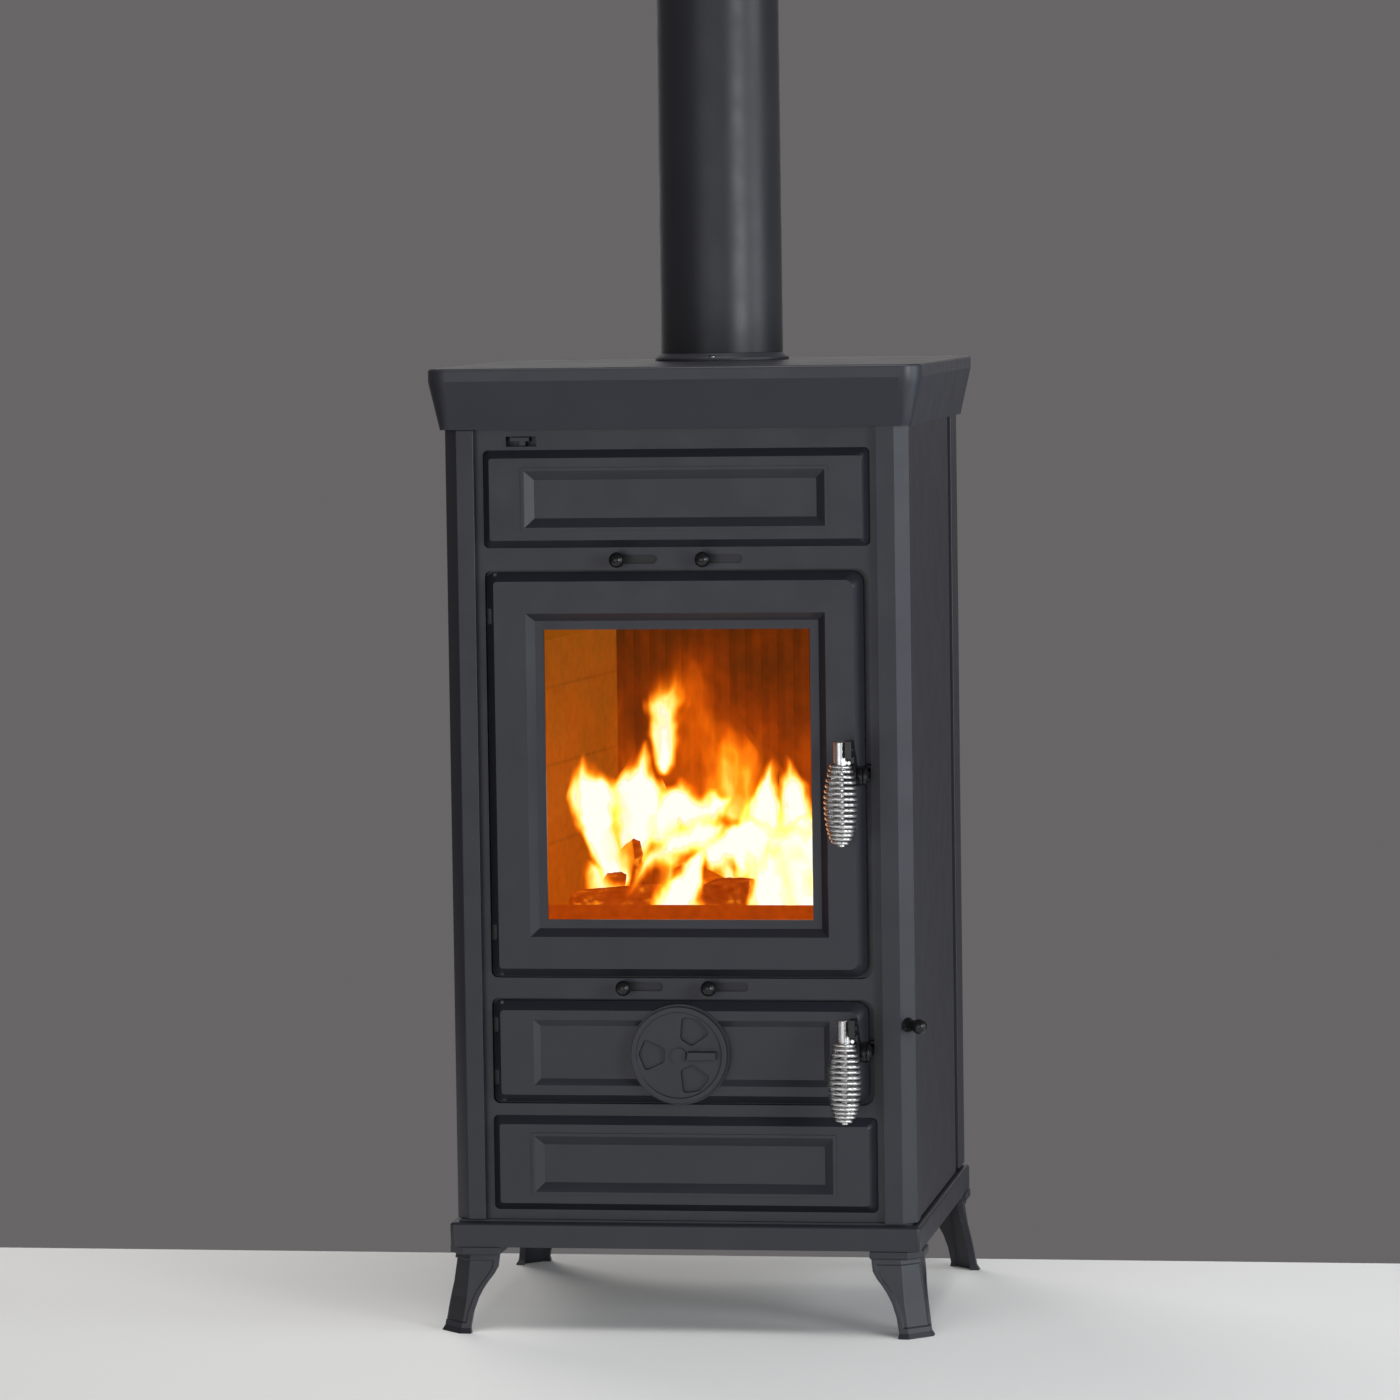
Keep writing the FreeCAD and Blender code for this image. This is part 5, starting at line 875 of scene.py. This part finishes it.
# %% Flame finish
def flame_finish():
    material, tree, shader = new_material("flame")
    shader.inputs["Base Color"].default_value = (0, 0, 0, 1)
    shader.inputs["Specular IOR Level"].default_value = 0.0
    stored = tree.nodes.new("ShaderNodeAttribute")
    stored.attribute_name = "flame_place"
    split = tree.nodes.new("ShaderNodeSeparateXYZ")
    tree.links.new(stored.outputs["Vector"], split.inputs[0])
    across, along, force = split.outputs[0], split.outputs[1], split.outputs[2]
    drift = spread(tree, noise(tree, 34.0, 2.0, (1, 1, 0.5)), -0.55, 0.55)
    drift = math_node(tree, "MULTIPLY", drift, math_node(tree, "MULTIPLY_ADD", along, 0.8, 0.35))
    off_spine = math_node(tree, "ABSOLUTE", math_node(tree, "ADD", across, drift))
    side = math_node(tree, "SUBTRACT", 1.0, off_spine)
    root = math_node(tree, "MINIMUM", math_node(tree, "MULTIPLY", along, 7.0), 1.0)
    cool = math_node(tree, "MULTIPLY_ADD", along, -0.75, 1.35)
    lick = spread(tree, noise(tree, 70.0, 2.0, (1, 1, 0.35)), 0.8, 1.2)
    body = math_node(tree, "MULTIPLY", side, cool)
    heat = math_node(tree, "MULTIPLY", body, math_node(tree, "MULTIPLY", root, lick))
    heat = math_node(tree, "MULTIPLY", heat, force)
    tip = math_node(tree, "MULTIPLY", math_node(tree, "SUBTRACT", 1.0, along), 4.0)
    heat = math_node(tree, "MULTIPLY", heat, math_node(tree, "MINIMUM", tip, 1.0))
    colour = ramp(tree, heat, [(0.0, (0.85, 0.07, 0.0)), (0.15, (0.95, 0.15, 0.0)), (0.32, (1.0, 0.34, 0.01)),
                               (0.48, (1.0, 0.62, 0.10)), (0.64, (1.0, 0.88, 0.46)),
                               (0.82, (1.0, 0.98, 0.90))])
    tree.links.new(colour, shader.inputs["Emission Color"])
    tree.links.new(spread(tree, heat, 4.0, 1.1, 0.1, 0.7), shader.inputs["Emission Strength"])
    cover = tree.nodes.new("ShaderNodeMapRange")
    cover.interpolation_type = "SMOOTHSTEP"
    cover.inputs["From Min"].default_value, cover.inputs["From Max"].default_value = 0.0, 0.85
    tree.links.new(heat, cover.inputs["Value"])
    tree.links.new(cover.outputs["Result"], shader.inputs["Alpha"])
    material.cycles.emission_sampling = "NONE"
    return material


FLAME = flame_finish()
print("flame nodes:", len(FLAME.node_tree.nodes))

# %% Flame tongues
# Depth behind the front plate, strength, and the spine: X, height and half width, in millimetres
TONGUES = [
    (116, 1.25, [(-90, 392, 12), (-85, 430, 20), (-93, 462, 26), (-99, 488, 36), (-106, 514, 21),
                 (-112, 542, 4)]),
    (112, 0.8, [(-76, 394, 15), (-94, 414, 24), (-112, 436, 8)]),
    (118, 0.3, [(-80, 428, 11), (-81, 473, 19), (-76, 508, 5)]),
    (150, 1.3, [(-74, 416, 12), (-67, 459, 26), (-66, 490, 32), (-62, 520, 18), (-54, 550, 4)]),
    (155, 1.3, [(-64, 456, 22), (-35, 476, 35), (-14, 478, 31), (10, 487, 16), (30, 498, 4)]),
    (160, 0.9, [(-41, 512, 8), (-40, 536, 16), (-40, 558, 21), (-38, 582, 24), (-36, 620, 22)]),
    (200, 0.15, [(-30, 480, 40), (-22, 549, 52), (-20, 600, 46), (-30, 660, 24)]),
    (190, 0.12, [(-72, 490, 30), (-79, 550, 28), (-84, 620, 16)]),
    (175, 0.20, [(0, 470, 40), (10, 520, 46), (-8, 580, 24), (-14, 640, 8)]),
    (80, 0.9, [(34, 474, 18), (-1, 464, 24), (-23, 452, 21), (-43, 434, 15), (-70, 400, 8)]),
    (120, 1.6, [(175, 416, 50), (140, 424, 54), (106, 430, 54), (76, 436, 48), (40, 447, 36), (4, 453, 26),
                (-44, 450, 14)]),
    (130, 1.25, [(75, 412, 44), (66, 466, 34), (68, 496, 20), (71, 536, 4)]),
    (135, 1.25, [(89, 410, 34), (94, 463, 26), (93, 494, 20), (80, 536, 4)]),
    (140, 0.8, [(46, 428, 22), (47, 469, 18), (58, 512, 5)]),
    (70, 1.4, [(-13, 376, 30), (-10, 407, 29), (2, 432, 16), (13, 458, 4)]),
    (72, 0.45, [(-23, 386, 17), (-26, 426, 17), (-24, 460, 12)]),
    (75, 1.35, [(73, 372, 27), (79, 412, 35), (72, 458, 30)]),
    (85, 1.35, [(102, 384, 28), (98, 430, 32), (92, 478, 22)]),
    (170, 0.4, [(22, 464, 30), (32, 510, 28), (14, 570, 8)]),
    (240, 0.17, [(20, 370, 130), (30, 440, 140), (20, 510, 110), (10, 600, 60)]),
]
ROWS, COLUMNS = 34, 10
BOW = 0.35
SWAY = 6


def along_spine(points, share):
    """A smooth place and half width on a spine, from its first point at 0 to its last at 1."""
    place = share * (len(points) - 1)
    k = min(int(place), len(points) - 2)
    t = place - k
    p = [Vector(points[min(max(k + step, 0), len(points) - 1)]) for step in (-1, 0, 1, 2)]
    return 0.5 * (2 * p[1] + (p[2] - p[0]) * t + (2 * p[0] - 5 * p[1] + 4 * p[2] - p[3]) * t * t
                  + (3 * p[1] - p[0] - 3 * p[2] + p[3]) * t ** 3)


def flame_tongue(number, depth, force, points):
    verts, faces, stored = [], [], []
    for i in range(ROWS + 1):
        share = i / ROWS
        here = along_spine(points, share)
        ahead = along_spine(points, min(share + 0.02, 1.0)) - along_spine(points, max(share - 0.02, 0.0))
        across = Vector((ahead.y, -ahead.x)).normalized()
        for k in range(COLUMNS + 1):
            u = 2 * k / COLUMNS - 1
            x, z = here.x + across.x * u * here.z, here.y + across.y * u * here.z
            bowed = depth - BOW * here.z * (1 - u * u) + SWAY * math.sin(5 * share + number)
            verts.append(spot(x, bowed, z))
            stored.append((u, share, force))
    for i in range(ROWS):
        for k in range(COLUMNS):
            a = i * (COLUMNS + 1) + k
            faces.append((a, a + 1, a + COLUMNS + 2, a + COLUMNS + 1))
    mesh = bpy.data.meshes.new("flame")
    mesh.from_pydata(verts, [], faces)
    values = mesh.attributes.new("flame_place", "FLOAT_VECTOR", "POINT")
    values.data.foreach_set("vector", [value for row in stored for value in row])
    mesh.shade_smooth()
    return mesh


for number, (depth, force, points) in enumerate(TONGUES, 1):
    mesh = flame_tongue(number, depth, force, points)
    flame = link_piece("flame_%d" % number, mesh, "stove", [FLAME])
print("flames:", len(TONGUES), "faces each:", len(flame.data.polygons))

# %% [markdown]
# ## Firelight
# The flames themselves are too thin to light the firebox well, so two small warm lamps hang among them.
# They lie behind the glass and reach little of the outside.

# %% Fire lamps
def fire_lamp(name, place, watts):
    data = bpy.data.lights.new(name, "POINT")
    data.energy, data.color, data.shadow_soft_size = watts, (1.0, 0.30, 0.03), 0.05
    lamp = bpy.data.objects.new(name, data)
    lamp.location = place
    lamp.visible_camera = lamp.visible_transmission = lamp.visible_glossy = False
    SCENE.collection.objects.link(lamp)


fire_lamp("fire_left", spot(-60, 120, 500), 0.8)
fire_lamp("fire_right", spot(70, 140, 480), 0.9)
print("fire lamps: 2")
